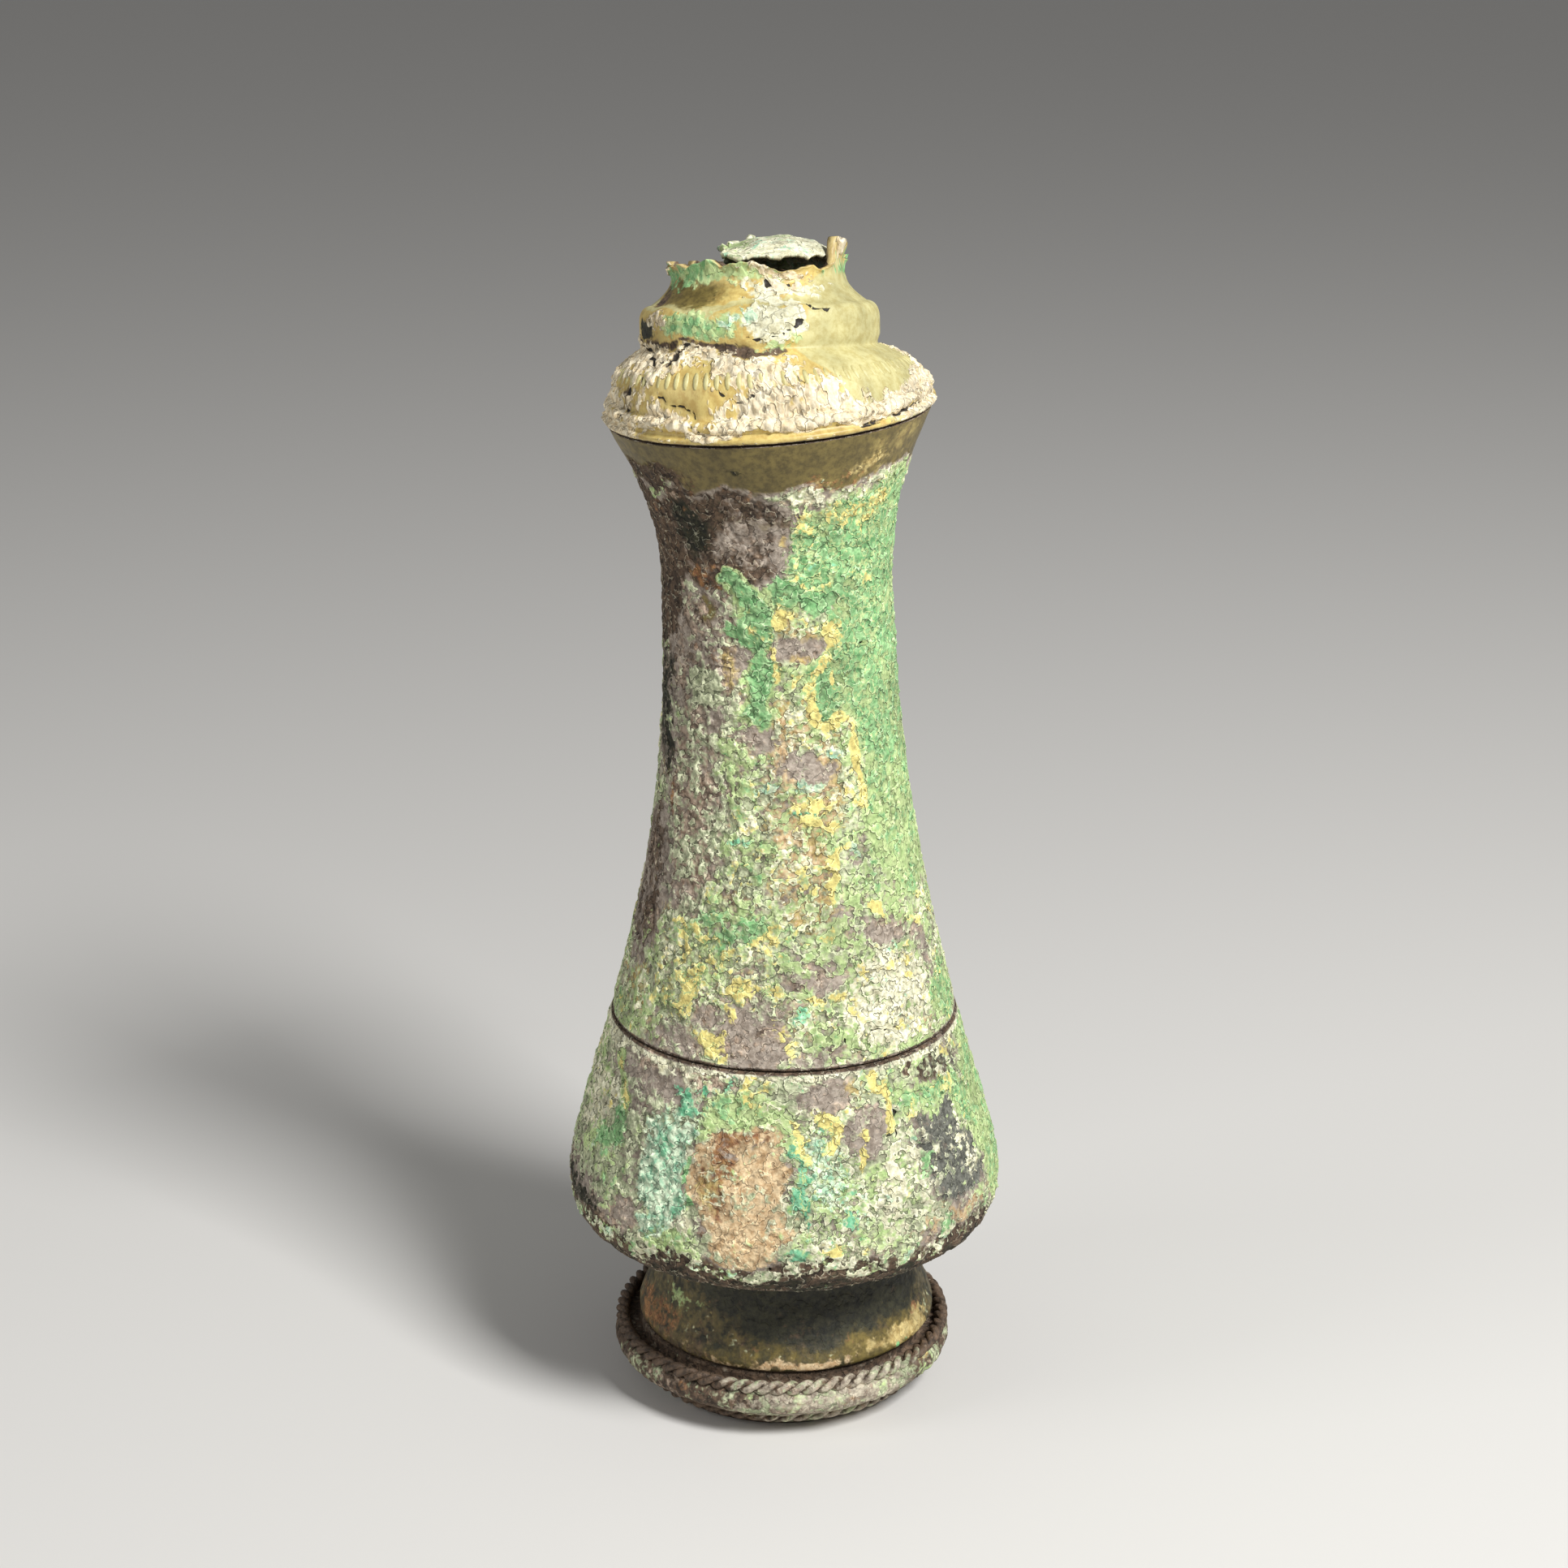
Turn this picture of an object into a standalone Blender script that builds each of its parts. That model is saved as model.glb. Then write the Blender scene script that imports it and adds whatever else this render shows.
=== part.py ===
"""Bronze lime container: a footed bowl with a tall waisted cover that lifts off.

Axis: +Z, with the base ring's underside at z = 0 and the bowl's axis at x = y = 0.
Six castings: base ring with its twisted rope mouldings, hollow foot, bowl with an upright collar,
cover, tiered crown that closes the cover's top, and the torn sheet left of the broken finial.
"""

import math

import bpy
from mathutils import Matrix, Vector
from mathutils.geometry import interpolate_bezier

MM = 0.001

# Fits
SEAT_GAP = 0.3 * MM  # between castings that rest on each other
COLLAR_CLEARANCE = 0.3 * MM  # radial, bowl collar in the cover's mouth
SKIRT_CLEARANCE = 0.5 * MM  # radial, crown skirt in the cover's top

# Base ring
RING_HEIGHT = 8.9 * MM  # floor to the ledge that carries the foot
RING_BORE_R = 15.4 * MM
RING_FLOOR_R = 17.8 * MM  # outer edge of the face that it stands on
RING_SHIFT = 0.3 * MM  # the ring sits off the bowl's axis, towards -X
TORUS_R = 21.7 * MM
TORUS_THICK = 1.85 * MM
TORUS_Z = 5.8 * MM
TORUS_FROM = 62  # degrees above level, where the torus leaves the channel
TORUS_TO = -72  # degrees, where it meets the lower rope
LEDGE_R = 20.0 * MM  # outer edge of the ledge
GROOVE_DEPTH = 1.6 * MM  # channel between the ledge and the upper rope
UPPER_ROPE_R = 22.5 * MM
UPPER_ROPE_THICK = 0.95 * MM
UPPER_ROPE_Z = 8.1 * MM
LOWER_ROPE_R = 19.6 * MM
LOWER_ROPE_THICK = 0.75 * MM
LOWER_ROPE_Z = 2.1 * MM

# Foot
FOOT_HEIGHT = 13.0 * MM
FOOT_TOP_R = 17.6 * MM
FOOT_WALL = 1.8 * MM
FOOT_SHIFT = 0.3 * MM  # the foot sits off the axis, towards +X
LIP_HEIGHT = 1.4 * MM
FOOT_SPREAD = 1.2 * MM  # how far the side still widens above the lip

# Bowl
BOWL_UNDER_HEIGHT = 8.5 * MM  # underside to the widest point
BOWL_UPPER_HEIGHT = 23.9 * MM  # widest point to the rim
BOWL_R = 29.7 * MM
BOWL_RIM_R = 23.6 * MM
BOWL_SEAT_R = 18.6 * MM  # flat face on top of the foot
BOWL_WALL = 2.1 * MM
BOWL_FLOOR = 2.5 * MM
BOWL_SWELL = 1.8 * MM  # how far the side widens just under the rim
BOWL_TURN = 1.8 * MM  # how far the underside draws in below the widest point
THROAT_HEIGHT = 2.0 * MM  # sloping part of the wall under the collar
FLOOR_STEP = 0.3 * MM  # height at which the wall leaves the floor
COLLAR_HEIGHT = 5.6 * MM
COLLAR_WALL = 1.3 * MM

# Cover
COVER_TAPER_HEIGHT = 60.0 * MM  # mouth to the narrowest point
COVER_FLARE_HEIGHT = 22.2 * MM  # narrowest point to the top
COVER_MOUTH_R = 23.4 * MM
COVER_NECK_R = 15.0 * MM
COVER_TOP_R = 20.9 * MM
COVER_WALL = 1.6 * MM
FLARE_SPREAD = 2.7 * MM  # how far the flare widens in its last quarter
TAPER_SPREAD = 5.4 * MM  # how far the taper widens in its lowest third
COVER_TOP_EDGE = 0.5 * MM  # height of the square edge inside the top
LEAN = 1.8 * MM  # how far the cover's top has bent over
LEAN_START = 20.0 * MM  # height in the cover where the bend begins
LEAN_TOWARDS = math.radians(180)  # to the left
CROWN_TILT = math.radians(4.0)

# Crown
CROWN_LIP_R = 21.4 * MM
CROWN_LIP_THICK = 0.9 * MM
CROWN_LIP_EDGE = 0.6 * MM  # how far the lip's upper face slopes in
CROWN_LIP_UNDERCUT = 0.2 * MM
CROWN_WALL = 1.3 * MM
SKIRT_DEPTH = 2.4 * MM
SHOULDER_HEIGHT = 8.0 * MM
SHOULDER_TOP_R = 14.9 * MM
SHOULDER_BULGE = 3.6 * MM  # how far the shoulder's curve stands out just under the tier
SHOULDER_STEP = 0.5 * MM  # ledge between shoulder and tier
TIER_R = 15.3 * MM
TIER_HEIGHT = 5.4 * MM
TIER_EDGE = 0.5 * MM  # rounding of the tier's upper edge
TIER_EDGE_DROP = 0.7 * MM
TIER_BULGE_TOP = 2.4 * MM  # below the tier's top, where its upright side begins
TIER_BULGE_FOOT = 1.2 * MM  # above the shoulder, where it ends
TIER_UNDERCUT = 0.2 * MM
TIER_TOP_DEPTH = 1.6 * MM  # how far the tier's flat top reaches in
WAIST_R = 10.6 * MM
WAIST_HEIGHT = 2.2 * MM  # tier's top edge to the narrowest point
STUMP_R = 11.4 * MM
STUMP_HEIGHT = 2.4 * MM  # narrowest point to the torn edge
TEAR_DEPTH = 0.6 * MM
TONGUE_HEIGHT = 2.7 * MM  # upright tongue left on the torn edge
TONGUE_AT = math.radians(-22)
TONGUE_WIDTH = math.radians(9)
KNOB_HEIGHT = 1.3 * MM  # smaller point left on its other side
KNOB_AT = math.radians(180)
KNOB_WIDTH = math.radians(7)
BEAD_R = 20.2 * MM  # worn rope moulding above the lip
BEAD_Z = 2.0 * MM
BEAD_THICK = 0.8 * MM
BEAD_PROUD = 0.2 * MM  # how far the bead's middle stands out from the shoulder's foot
BEAD_ARC = 60  # degrees above and below level that show
SINK = math.radians(9.5)  # how far the tiers have sunk on one side
SINK_TOWARDS = math.radians(75)  # back, and a little to the right
SLIDE = 0.8 * MM  # how far the tiers have slipped to the left

# Torn sheet of the finial
SHEET_THICK = 0.7 * MM
SHEET_RISE = 3.3 * MM
SHEET_LEFT = -4.2 * MM  # where the sheet is torn off, from the stump's axis
SHEET_LIFT = 1.2 * MM  # its front edge stands clear of the stump
SHEET_TUCK = 0.4 * MM  # its back edge reaches down inside the stump
SHEET_END_RATIO = 0.93  # its right end, against the stump's inner radius
SHEET_CREST_RATIO = 0.15  # highest point, on a scale from -1 at its left end to 1 at its right
SHEET_RIPPLE = 0.15 * MM
SHEET_TEAR = 0.4 * MM  # depth of the waves in its torn left end

# Rope mouldings: two threads laid together
THREAD_PITCH = 4.2 * MM  # length of one full turn of the lay
THREAD_LOBE = 0.62  # share of the rope's thickness that is left between its two threads
ROPE_STEPS = 5  # rings in one turn
ROPE_SIDES = 6

# Facets
TURN_STEPS = 40
CURVE_POINTS = 6
SHOULDER_POINTS = 5
BEAD_POINTS = 4
MERGE_DISTANCE = 0.01 * MM  # joins the first and last turn of a turned casting
SMOOTH_ANGLE = math.radians(50)
SHEET_STEPS = 9

# Heights that follow from the sizes above
FOOT_Z = RING_HEIGHT + SEAT_GAP
BOWL_Z = FOOT_Z + FOOT_HEIGHT + SEAT_GAP
BOWL_HEIGHT = BOWL_UNDER_HEIGHT + BOWL_UPPER_HEIGHT
SEAM_Z = BOWL_Z + BOWL_HEIGHT
COVER_Z = SEAM_Z + SEAT_GAP
COVER_HEIGHT = COVER_TAPER_HEIGHT + COVER_FLARE_HEIGHT
COVER_TOP_Z = COVER_Z + COVER_HEIGHT
STUMP_WAIST_Z = SHOULDER_HEIGHT + TIER_HEIGHT + WAIST_HEIGHT
STUMP_TOP_Z = STUMP_WAIST_Z + STUMP_HEIGHT


def clear_scene():
    for obj in list(bpy.data.objects):
        bpy.data.objects.remove(obj)


def new_collection(name):
    collection = bpy.data.collections.new(name)
    bpy.context.scene.collection.children.link(collection)
    return collection


def bronze(name, colour, roughness, metallic):
    """A Principled material of one corroded bronze surface."""
    material = bpy.data.materials.new(name)
    material.use_nodes = True
    shader = material.node_tree.nodes["Principled BSDF"]
    shader.inputs["Base Color"].default_value = (*colour, 1.0)
    shader.inputs["Roughness"].default_value = roughness
    shader.inputs["Metallic"].default_value = metallic
    material.diffuse_color = (*colour, 1.0)
    return material


# Profiles are lists of (radius, height) pairs

def curve(start, handle_1, handle_2, end, points=CURVE_POINTS):
    """Points of a Bezier curve between two profile points."""
    ends = [Vector((*pair, 0.0)) for pair in (start, handle_1, handle_2, end)]
    return [(point.x, point.y) for point in interpolate_bezier(*ends, points)]


def arc(centre, radius, start, end, points=CURVE_POINTS):
    """Points of an arc from one angle to another, in degrees from the outward direction."""
    angles = [math.radians(start + (end - start) * i / (points - 1)) for i in range(points)]
    return [(centre[0] + radius * math.cos(a), centre[1] + radius * math.sin(a)) for a in angles]


def inset(profile, wall):
    """The profile moved inwards by the wall's thickness, square to its own line."""
    moved = []
    for i, (radius, height) in enumerate(profile):
        before = Vector(profile[max(i - 1, 0)])
        after = Vector(profile[min(i + 1, len(profile) - 1)])
        along = (after - before).normalized()
        moved.append((radius + along.y * wall, height - along.x * wall))
    return moved


def radius_at(profile, height):
    """Radius of a profile that runs down, at one height."""
    for (r_1, z_1), (r_2, z_2) in zip(profile, profile[1:]):
        if z_2 <= height <= z_1:
            return r_1 + (r_2 - r_1) * (z_1 - height) / (z_1 - z_2)
    return profile[0][0] if height > profile[0][1] else profile[-1][0]


def turned(name, profile, closed, collection, material=None):
    """A turned casting: the profile swept round Z by a Screw modifier."""
    mesh = bpy.data.meshes.new(name)
    points = [(radius, 0.0, height) for radius, height in profile]
    edges = [(i, i + 1) for i in range(len(points) - 1)]
    if closed:
        edges.append((len(points) - 1, 0))
    mesh.from_pydata(points, edges, [])
    obj = bpy.data.objects.new(name, mesh)
    collection.objects.link(obj)
    screw = obj.modifiers.new("Turn", "SCREW")
    screw.axis = "Z"
    screw.steps = TURN_STEPS
    screw.render_steps = TURN_STEPS
    screw.use_merge_vertices = True
    screw.merge_threshold = MERGE_DISTANCE
    screw.use_smooth_shade = True
    if material:
        mesh.materials.append(material)
    return obj


def rope(name, ring_r, height, thick, collection):
    """A two-thread rope laid round Z: a torus whose lobed section turns as it goes round."""
    turns = max(3, round(math.tau * ring_r / THREAD_PITCH))
    bpy.ops.mesh.primitive_torus_add(
        major_radius=ring_r,
        minor_radius=thick,
        major_segments=turns * ROPE_STEPS,
        minor_segments=ROPE_SIDES,
    )
    obj = bpy.context.object
    obj.name = name
    for vertex in obj.data.vertices:
        around = math.atan2(vertex.co.y, vertex.co.x)
        outward = math.hypot(vertex.co.x, vertex.co.y) - ring_r
        section = math.atan2(vertex.co.z, outward)
        lobe = THREAD_LOBE + (1.0 - THREAD_LOBE) * math.cos(section) ** 2
        laid = section + turns * around
        radius = ring_r + thick * lobe * math.cos(laid)
        vertex.co = (
            radius * math.cos(around),
            radius * math.sin(around),
            height + thick * lobe * math.sin(laid),
        )
    for owner in list(obj.users_collection):
        owner.objects.unlink(obj)
    collection.objects.link(obj)
    obj.hide_render = True
    obj.display_type = "WIRE"
    return obj


def join_to(obj, other):
    """Boolean union with a guide solid."""
    union = obj.modifiers.new("Join " + other.name, "BOOLEAN")
    union.operation = "UNION"
    union.solver = "EXACT"
    union.object = other


def baked(obj):
    """Replaces an object's mesh by its evaluated one, and drops its modifiers."""
    bpy.context.view_layer.update()
    graph = bpy.context.evaluated_depsgraph_get()
    mesh = bpy.data.meshes.new_from_object(obj.evaluated_get(graph))
    mesh.name = obj.name
    obj.modifiers.clear()
    obj.data = mesh
    return obj


def smooth(obj):
    obj.data.shade_smooth()
    obj.data.set_sharp_from_angle(angle=SMOOTH_ANGLE)


# Base ring

def make_base_ring(parts, guides, material):
    groove_z = RING_HEIGHT - GROOVE_DEPTH
    groove_r = UPPER_ROPE_R - 0.5 * UPPER_ROPE_THICK
    section = [
        (RING_BORE_R, RING_HEIGHT),
        (LEDGE_R, RING_HEIGHT),
        (LEDGE_R, groove_z),
        (groove_r, groove_z),
    ]
    section += arc((TORUS_R, TORUS_Z), TORUS_THICK, TORUS_FROM, TORUS_TO)
    section += [
        (LOWER_ROPE_R, LOWER_ROPE_Z),
        (RING_FLOOR_R, 0.0),
        (RING_BORE_R, 0.0),
    ]
    ring = turned("base_ring", section, True, parts, material)
    upper = rope("upper_rope", UPPER_ROPE_R, UPPER_ROPE_Z, UPPER_ROPE_THICK, guides)
    lower = rope("lower_rope", LOWER_ROPE_R, LOWER_ROPE_Z, LOWER_ROPE_THICK, guides)
    join_to(ring, upper)
    join_to(ring, lower)
    ring.location = (-RING_SHIFT, 0.0, 0.0)
    upper.parent = ring
    lower.parent = ring
    return ring


# Foot

def make_foot(parts, material):
    lip_r = UPPER_ROPE_R - UPPER_ROPE_THICK - RING_SHIFT - FOOT_SHIFT - SEAT_GAP
    heel_r = lip_r - 0.3 * LIP_HEIGHT
    side = curve(
        (FOOT_TOP_R, FOOT_HEIGHT),
        (FOOT_TOP_R, 0.65 * FOOT_HEIGHT),
        (lip_r - FOOT_SPREAD, 0.38 * FOOT_HEIGHT),
        (lip_r, LIP_HEIGHT),
    )
    inner = [pair for pair in inset(side, FOOT_WALL) if pair[1] < FOOT_HEIGHT]
    section = side
    section += [(lip_r, 0.4 * LIP_HEIGHT), (heel_r, 0.0), (heel_r - FOOT_WALL, 0.0)]
    section += [(radius, height) for radius, height in reversed(inner) if height > LIP_HEIGHT]
    section.append((FOOT_TOP_R - FOOT_WALL, FOOT_HEIGHT))
    foot = turned("foot", section, True, parts, material)
    foot.location = (FOOT_SHIFT, 0.0, FOOT_Z)
    return foot


# Cover outline, which also sets the bowl's collar

def cover_outline():
    """From the top down to the mouth."""
    neck_z = COVER_TAPER_HEIGHT
    flare = curve(
        (COVER_TOP_R, COVER_HEIGHT),
        (COVER_TOP_R - FLARE_SPREAD, neck_z + 0.74 * COVER_FLARE_HEIGHT),
        (COVER_NECK_R, neck_z + 0.5 * COVER_FLARE_HEIGHT),
        (COVER_NECK_R, neck_z),
    )
    taper = curve(
        (COVER_NECK_R, neck_z),
        (COVER_NECK_R, 0.63 * neck_z),
        (COVER_MOUTH_R - TAPER_SPREAD, 0.33 * neck_z),
        (COVER_MOUTH_R, 0.0),
    )
    return flare + taper[1:]


def socket_radius():
    """Straight bore of the cover's mouth, as wide as the wall allows at the collar's top."""
    inner = inset(cover_outline(), COVER_WALL)
    return radius_at(inner, COLLAR_HEIGHT + COLLAR_CLEARANCE)


# Bowl

def make_bowl(parts, material):
    side = curve(
        (BOWL_RIM_R, BOWL_HEIGHT),
        (BOWL_RIM_R + BOWL_SWELL, BOWL_HEIGHT - 0.33 * BOWL_UPPER_HEIGHT),
        (BOWL_R, BOWL_UNDER_HEIGHT + 0.19 * BOWL_UPPER_HEIGHT),
        (BOWL_R, BOWL_UNDER_HEIGHT),
    )
    under = curve(
        (BOWL_R, BOWL_UNDER_HEIGHT),
        (BOWL_R, 0.43 * BOWL_UNDER_HEIGHT),
        (BOWL_R - BOWL_TURN, 0.23 * BOWL_UNDER_HEIGHT),
        (BOWL_SEAT_R, 0.0),
    )
    outer = side + under[1:]
    collar_r = socket_radius() - COLLAR_CLEARANCE
    collar_bore_r = collar_r - COLLAR_WALL
    throat_z = BOWL_HEIGHT - BOWL_WALL
    lowest_wall_z = BOWL_FLOOR + FLOOR_STEP
    highest_wall_z = throat_z - THROAT_HEIGHT
    inner = [p for p in inset(outer, BOWL_WALL) if lowest_wall_z < p[1] < highest_wall_z]
    section = [(0.0, BOWL_FLOOR), (BOWL_SEAT_R, BOWL_FLOOR)]
    section += reversed(inner)
    section += [
        (collar_bore_r, throat_z),
        (collar_bore_r, BOWL_HEIGHT + COLLAR_HEIGHT),
        (collar_r, BOWL_HEIGHT + COLLAR_HEIGHT),
        (collar_r, BOWL_HEIGHT),
    ]
    section += outer
    section.append((0.0, 0.0))
    bowl = turned("bowl", section, False, parts, material)
    bowl.location = (0.0, 0.0, BOWL_Z)
    return bowl


# Cover

def level_direction(angle):
    return Vector((math.cos(angle), math.sin(angle), 0.0))


def bend_cover(point):
    """Leans the upper cover over and tips its top to the crown's tilt."""
    rise = max(0.0, (point.z - LEAN_START) / (COVER_HEIGHT - LEAN_START))
    towards = level_direction(LEAN_TOWARDS)
    tip = math.tan(CROWN_TILT) * rise ** 2 * point.dot(towards)
    return point + LEAN * rise ** 1.5 * towards - Vector((0.0, 0.0, tip))


def make_cover(parts, material):
    outer = cover_outline()
    socket_r = socket_radius()
    socket_z = COLLAR_HEIGHT + COLLAR_CLEARANCE
    inner = [p for p in inset(outer, COVER_WALL) if socket_z < p[1] < COVER_HEIGHT - COVER_TOP_EDGE]
    section = outer + [(socket_r, 0.0), (socket_r, socket_z)]
    section += reversed(inner)
    section.append((COVER_TOP_R - COVER_WALL, COVER_HEIGHT))
    cover = baked(turned("cover", section, True, parts, material))
    for vertex in cover.data.vertices:
        vertex.co = bend_cover(vertex.co)
    cover.location = (0.0, 0.0, COVER_Z)
    return cover


# Crown

def point_at(around, centre, width):
    """Height of a bell-shaped point at one angle, 1 at its centre."""
    return math.exp(-((math.remainder(around - centre, math.tau) / width) ** 2))


def torn_edge(around):
    """How far the stump's edge stands above its mean height, by the angle about its axis."""
    waves = math.sin(3 * around + 1.7) + 0.4 * math.sin(11 * around)
    tongue = TONGUE_HEIGHT * point_at(around, TONGUE_AT, TONGUE_WIDTH)
    knob = KNOB_HEIGHT * point_at(around, KNOB_AT, KNOB_WIDTH)
    return TEAR_DEPTH * waves + tongue + knob


def sink(point):
    """Tips the crown's tiers to one side above the bead, where the shoulder gave way."""
    start = BEAD_Z + BEAD_THICK
    rise = min(1.0, max(0.0, (point.z - start) / (SHOULDER_HEIGHT - start)))
    slope = math.tan(SINK) * rise
    above = max(0.0, point.z - 0.5 * (start + SHOULDER_HEIGHT))
    towards = level_direction(SINK_TOWARDS)
    moved = Vector((-SLIDE * rise, 0.0, -slope * point.dot(towards)))
    return point + slope * above * towards + moved


def make_crown(parts, material):
    tier_z = SHOULDER_HEIGHT
    tier_top_z = tier_z + TIER_HEIGHT
    skirt_r = radius_at(inset(cover_outline(), COVER_WALL), COVER_HEIGHT - SKIRT_DEPTH) - SKIRT_CLEARANCE
    waist_bore_r = WAIST_R - CROWN_WALL
    stump = curve(
        (STUMP_R, STUMP_TOP_Z),
        (WAIST_R, STUMP_TOP_Z - 0.3 * STUMP_HEIGHT),
        (WAIST_R, STUMP_WAIST_Z),
        (TIER_R - TIER_TOP_DEPTH, tier_top_z),
    )
    tier = [
        (TIER_R - TIER_EDGE, tier_top_z - TIER_EDGE_DROP),
        (TIER_R, tier_top_z - TIER_BULGE_TOP),
        (TIER_R, tier_z + TIER_BULGE_FOOT),
        (SHOULDER_TOP_R, tier_z + TIER_UNDERCUT),
    ]
    shoulder = curve(
        (SHOULDER_TOP_R + SHOULDER_STEP, tier_z - TIER_UNDERCUT),
        (SHOULDER_TOP_R + SHOULDER_BULGE, 0.8 * tier_z),
        (BEAD_R - BEAD_PROUD, 0.6 * tier_z),
        (BEAD_R - BEAD_PROUD, BEAD_Z + 1.2 * BEAD_THICK),
        SHOULDER_POINTS,
    )
    bead = arc((BEAD_R, BEAD_Z), BEAD_THICK, BEAD_ARC, -BEAD_ARC, BEAD_POINTS)
    section = stump + tier + shoulder + bead
    section += [
        (CROWN_LIP_R - CROWN_LIP_EDGE, CROWN_LIP_THICK),
        (CROWN_LIP_R, 0.6 * CROWN_LIP_THICK),
        (CROWN_LIP_R - CROWN_LIP_UNDERCUT, 0.0),
        (skirt_r, 0.0),
        (skirt_r, -SKIRT_DEPTH),
        (skirt_r - CROWN_WALL, -SKIRT_DEPTH),
        (skirt_r - CROWN_WALL, CROWN_WALL),
        (SHOULDER_TOP_R - CROWN_WALL, tier_z - CROWN_WALL),
        (TIER_R - CROWN_WALL - TIER_EDGE, tier_top_z - 1.2 * CROWN_WALL),
        (waist_bore_r, STUMP_WAIST_Z - CROWN_WALL),
        (waist_bore_r, STUMP_WAIST_Z),
        (STUMP_R - CROWN_WALL, STUMP_TOP_Z),
    ]
    crown = baked(turned("crown", section, True, parts, material))
    for vertex in crown.data.vertices:
        above = max(0.0, vertex.co.z - STUMP_WAIST_Z) / STUMP_HEIGHT
        around = math.atan2(vertex.co.y, vertex.co.x)
        vertex.co.z += above * torn_edge(around)
        vertex.co = sink(vertex.co)
    crown.matrix_world = crown_place()
    return crown


def crown_place():
    """The crown sits square on the cover's tipped top."""
    towards = level_direction(LEAN_TOWARDS)
    top = LEAN * towards + Vector((0.0, 0.0, COVER_TOP_Z + SEAT_GAP / math.cos(CROWN_TILT)))
    axis = Vector((0.0, 0.0, 1.0)).cross(towards)
    return Matrix.Translation(top) @ Matrix.Rotation(CROWN_TILT, 4, axis)


# Torn sheet of the broken finial

def make_finial_remnant(parts, material):
    bpy.ops.mesh.primitive_grid_add(x_subdivisions=SHEET_STEPS, y_subdivisions=SHEET_STEPS, size=2.0)
    sheet = bpy.context.object
    sheet.name = "finial_remnant"
    narrowing = (STUMP_R - WAIST_R) * SHEET_TUCK / STUMP_HEIGHT
    edge_r = STUMP_R - CROWN_WALL - narrowing - SEAT_GAP
    right = SHEET_END_RATIO * edge_r
    for vertex in sheet.data.vertices:
        u, v = vertex.co.x, vertex.co.y
        x = SHEET_LEFT + (right - SHEET_LEFT) * 0.5 * (u + 1.0)
        y = v * math.sqrt(edge_r ** 2 - x ** 2)
        from_crest = u - SHEET_CREST_RATIO
        bow = 1.0 - 0.4 * from_crest ** 2 - 0.4 * max(0.0, from_crest) ** 2
        dome = SHEET_RISE * bow * (1.0 - v ** 2)
        border = 0.5 * (SHEET_LIFT * (1.0 - v) - SHEET_TUCK * (1.0 + v))
        ripple = SHEET_RIPPLE * math.sin(9.0 * u + 2.0 * v)
        x += SHEET_TEAR * (1.0 - u) * (1.0 - v ** 2) * math.sin(7.0 * v)
        vertex.co = (x, y, STUMP_TOP_Z + border + dome + ripple)
    for vertex in sheet.data.vertices:
        vertex.co = sink(vertex.co)
    for owner in list(sheet.users_collection):
        owner.objects.unlink(sheet)
    parts.objects.link(sheet)
    solid = sheet.modifiers.new("Thickness", "SOLIDIFY")
    solid.thickness = SHEET_THICK
    solid.offset = -1.0
    sheet.data.materials.append(material)
    sheet.matrix_world = crown_place()
    return sheet


def main():
    clear_scene()
    parts = new_collection("lime_container")
    guides = new_collection("guides")
    ring = make_base_ring(parts, guides, bronze("dark_ring_bronze", (0.34, 0.31, 0.24), 0.75, 0.25))
    foot = make_foot(parts, bronze("dark_foot_bronze", (0.16, 0.17, 0.11), 0.7, 0.3))
    bowl = make_bowl(parts, bronze("crusted_bowl_bronze", (0.42, 0.45, 0.30), 0.85, 0.1))
    cover = make_cover(parts, bronze("green_cover_bronze", (0.33, 0.45, 0.26), 0.85, 0.1))
    crown = make_crown(parts, bronze("ochre_crown_bronze", (0.62, 0.55, 0.30), 0.6, 0.2))
    sheet = make_finial_remnant(parts, bronze("pale_sheet_bronze", (0.55, 0.62, 0.47), 0.8, 0.1))
    lift = bpy.data.objects.new("cover_lift", None)
    lift.location = (0.0, 0.0, COVER_Z)
    parts.objects.link(lift)
    bpy.context.view_layer.update()
    for piece in (cover, crown, sheet):
        piece.parent = lift
        piece.matrix_parent_inverse = lift.matrix_world.inverted()
    for piece in (ring, foot, bowl, cover, crown, sheet):
        smooth(piece)


main()
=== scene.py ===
"""Bronze lime container: the excavated bronze's surfaces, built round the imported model.

Profiles and patterns are in millimetres and become metres where a mesh is made.
Bearings are degrees round Z: 0 is the front (-Y) and they grow to the right (+X).
"""

import math
import random
from collections import namedtuple

import bmesh
import bpy
import numpy as np
from bpy.props import FloatProperty, FloatVectorProperty, IntProperty, PointerProperty
from mathutils import Matrix, Vector, noise
from mathutils.geometry import interpolate_bezier


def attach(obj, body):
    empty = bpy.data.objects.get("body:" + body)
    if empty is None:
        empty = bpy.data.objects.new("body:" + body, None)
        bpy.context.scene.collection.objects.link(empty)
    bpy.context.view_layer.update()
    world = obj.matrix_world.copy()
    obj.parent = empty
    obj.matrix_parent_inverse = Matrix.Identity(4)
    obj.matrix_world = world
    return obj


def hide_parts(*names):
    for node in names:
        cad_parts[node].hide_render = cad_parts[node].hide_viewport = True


bl_info = {
    "name": "Bronze lime container",
    "version": (1, 0, 0),
    "blender": (4, 5, 0),
    "location": "3D View > Sidebar > Lime container",
    "description": "Corroded bronze lime container with a lift-off cover",
    "category": "Add Mesh",
}

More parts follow.
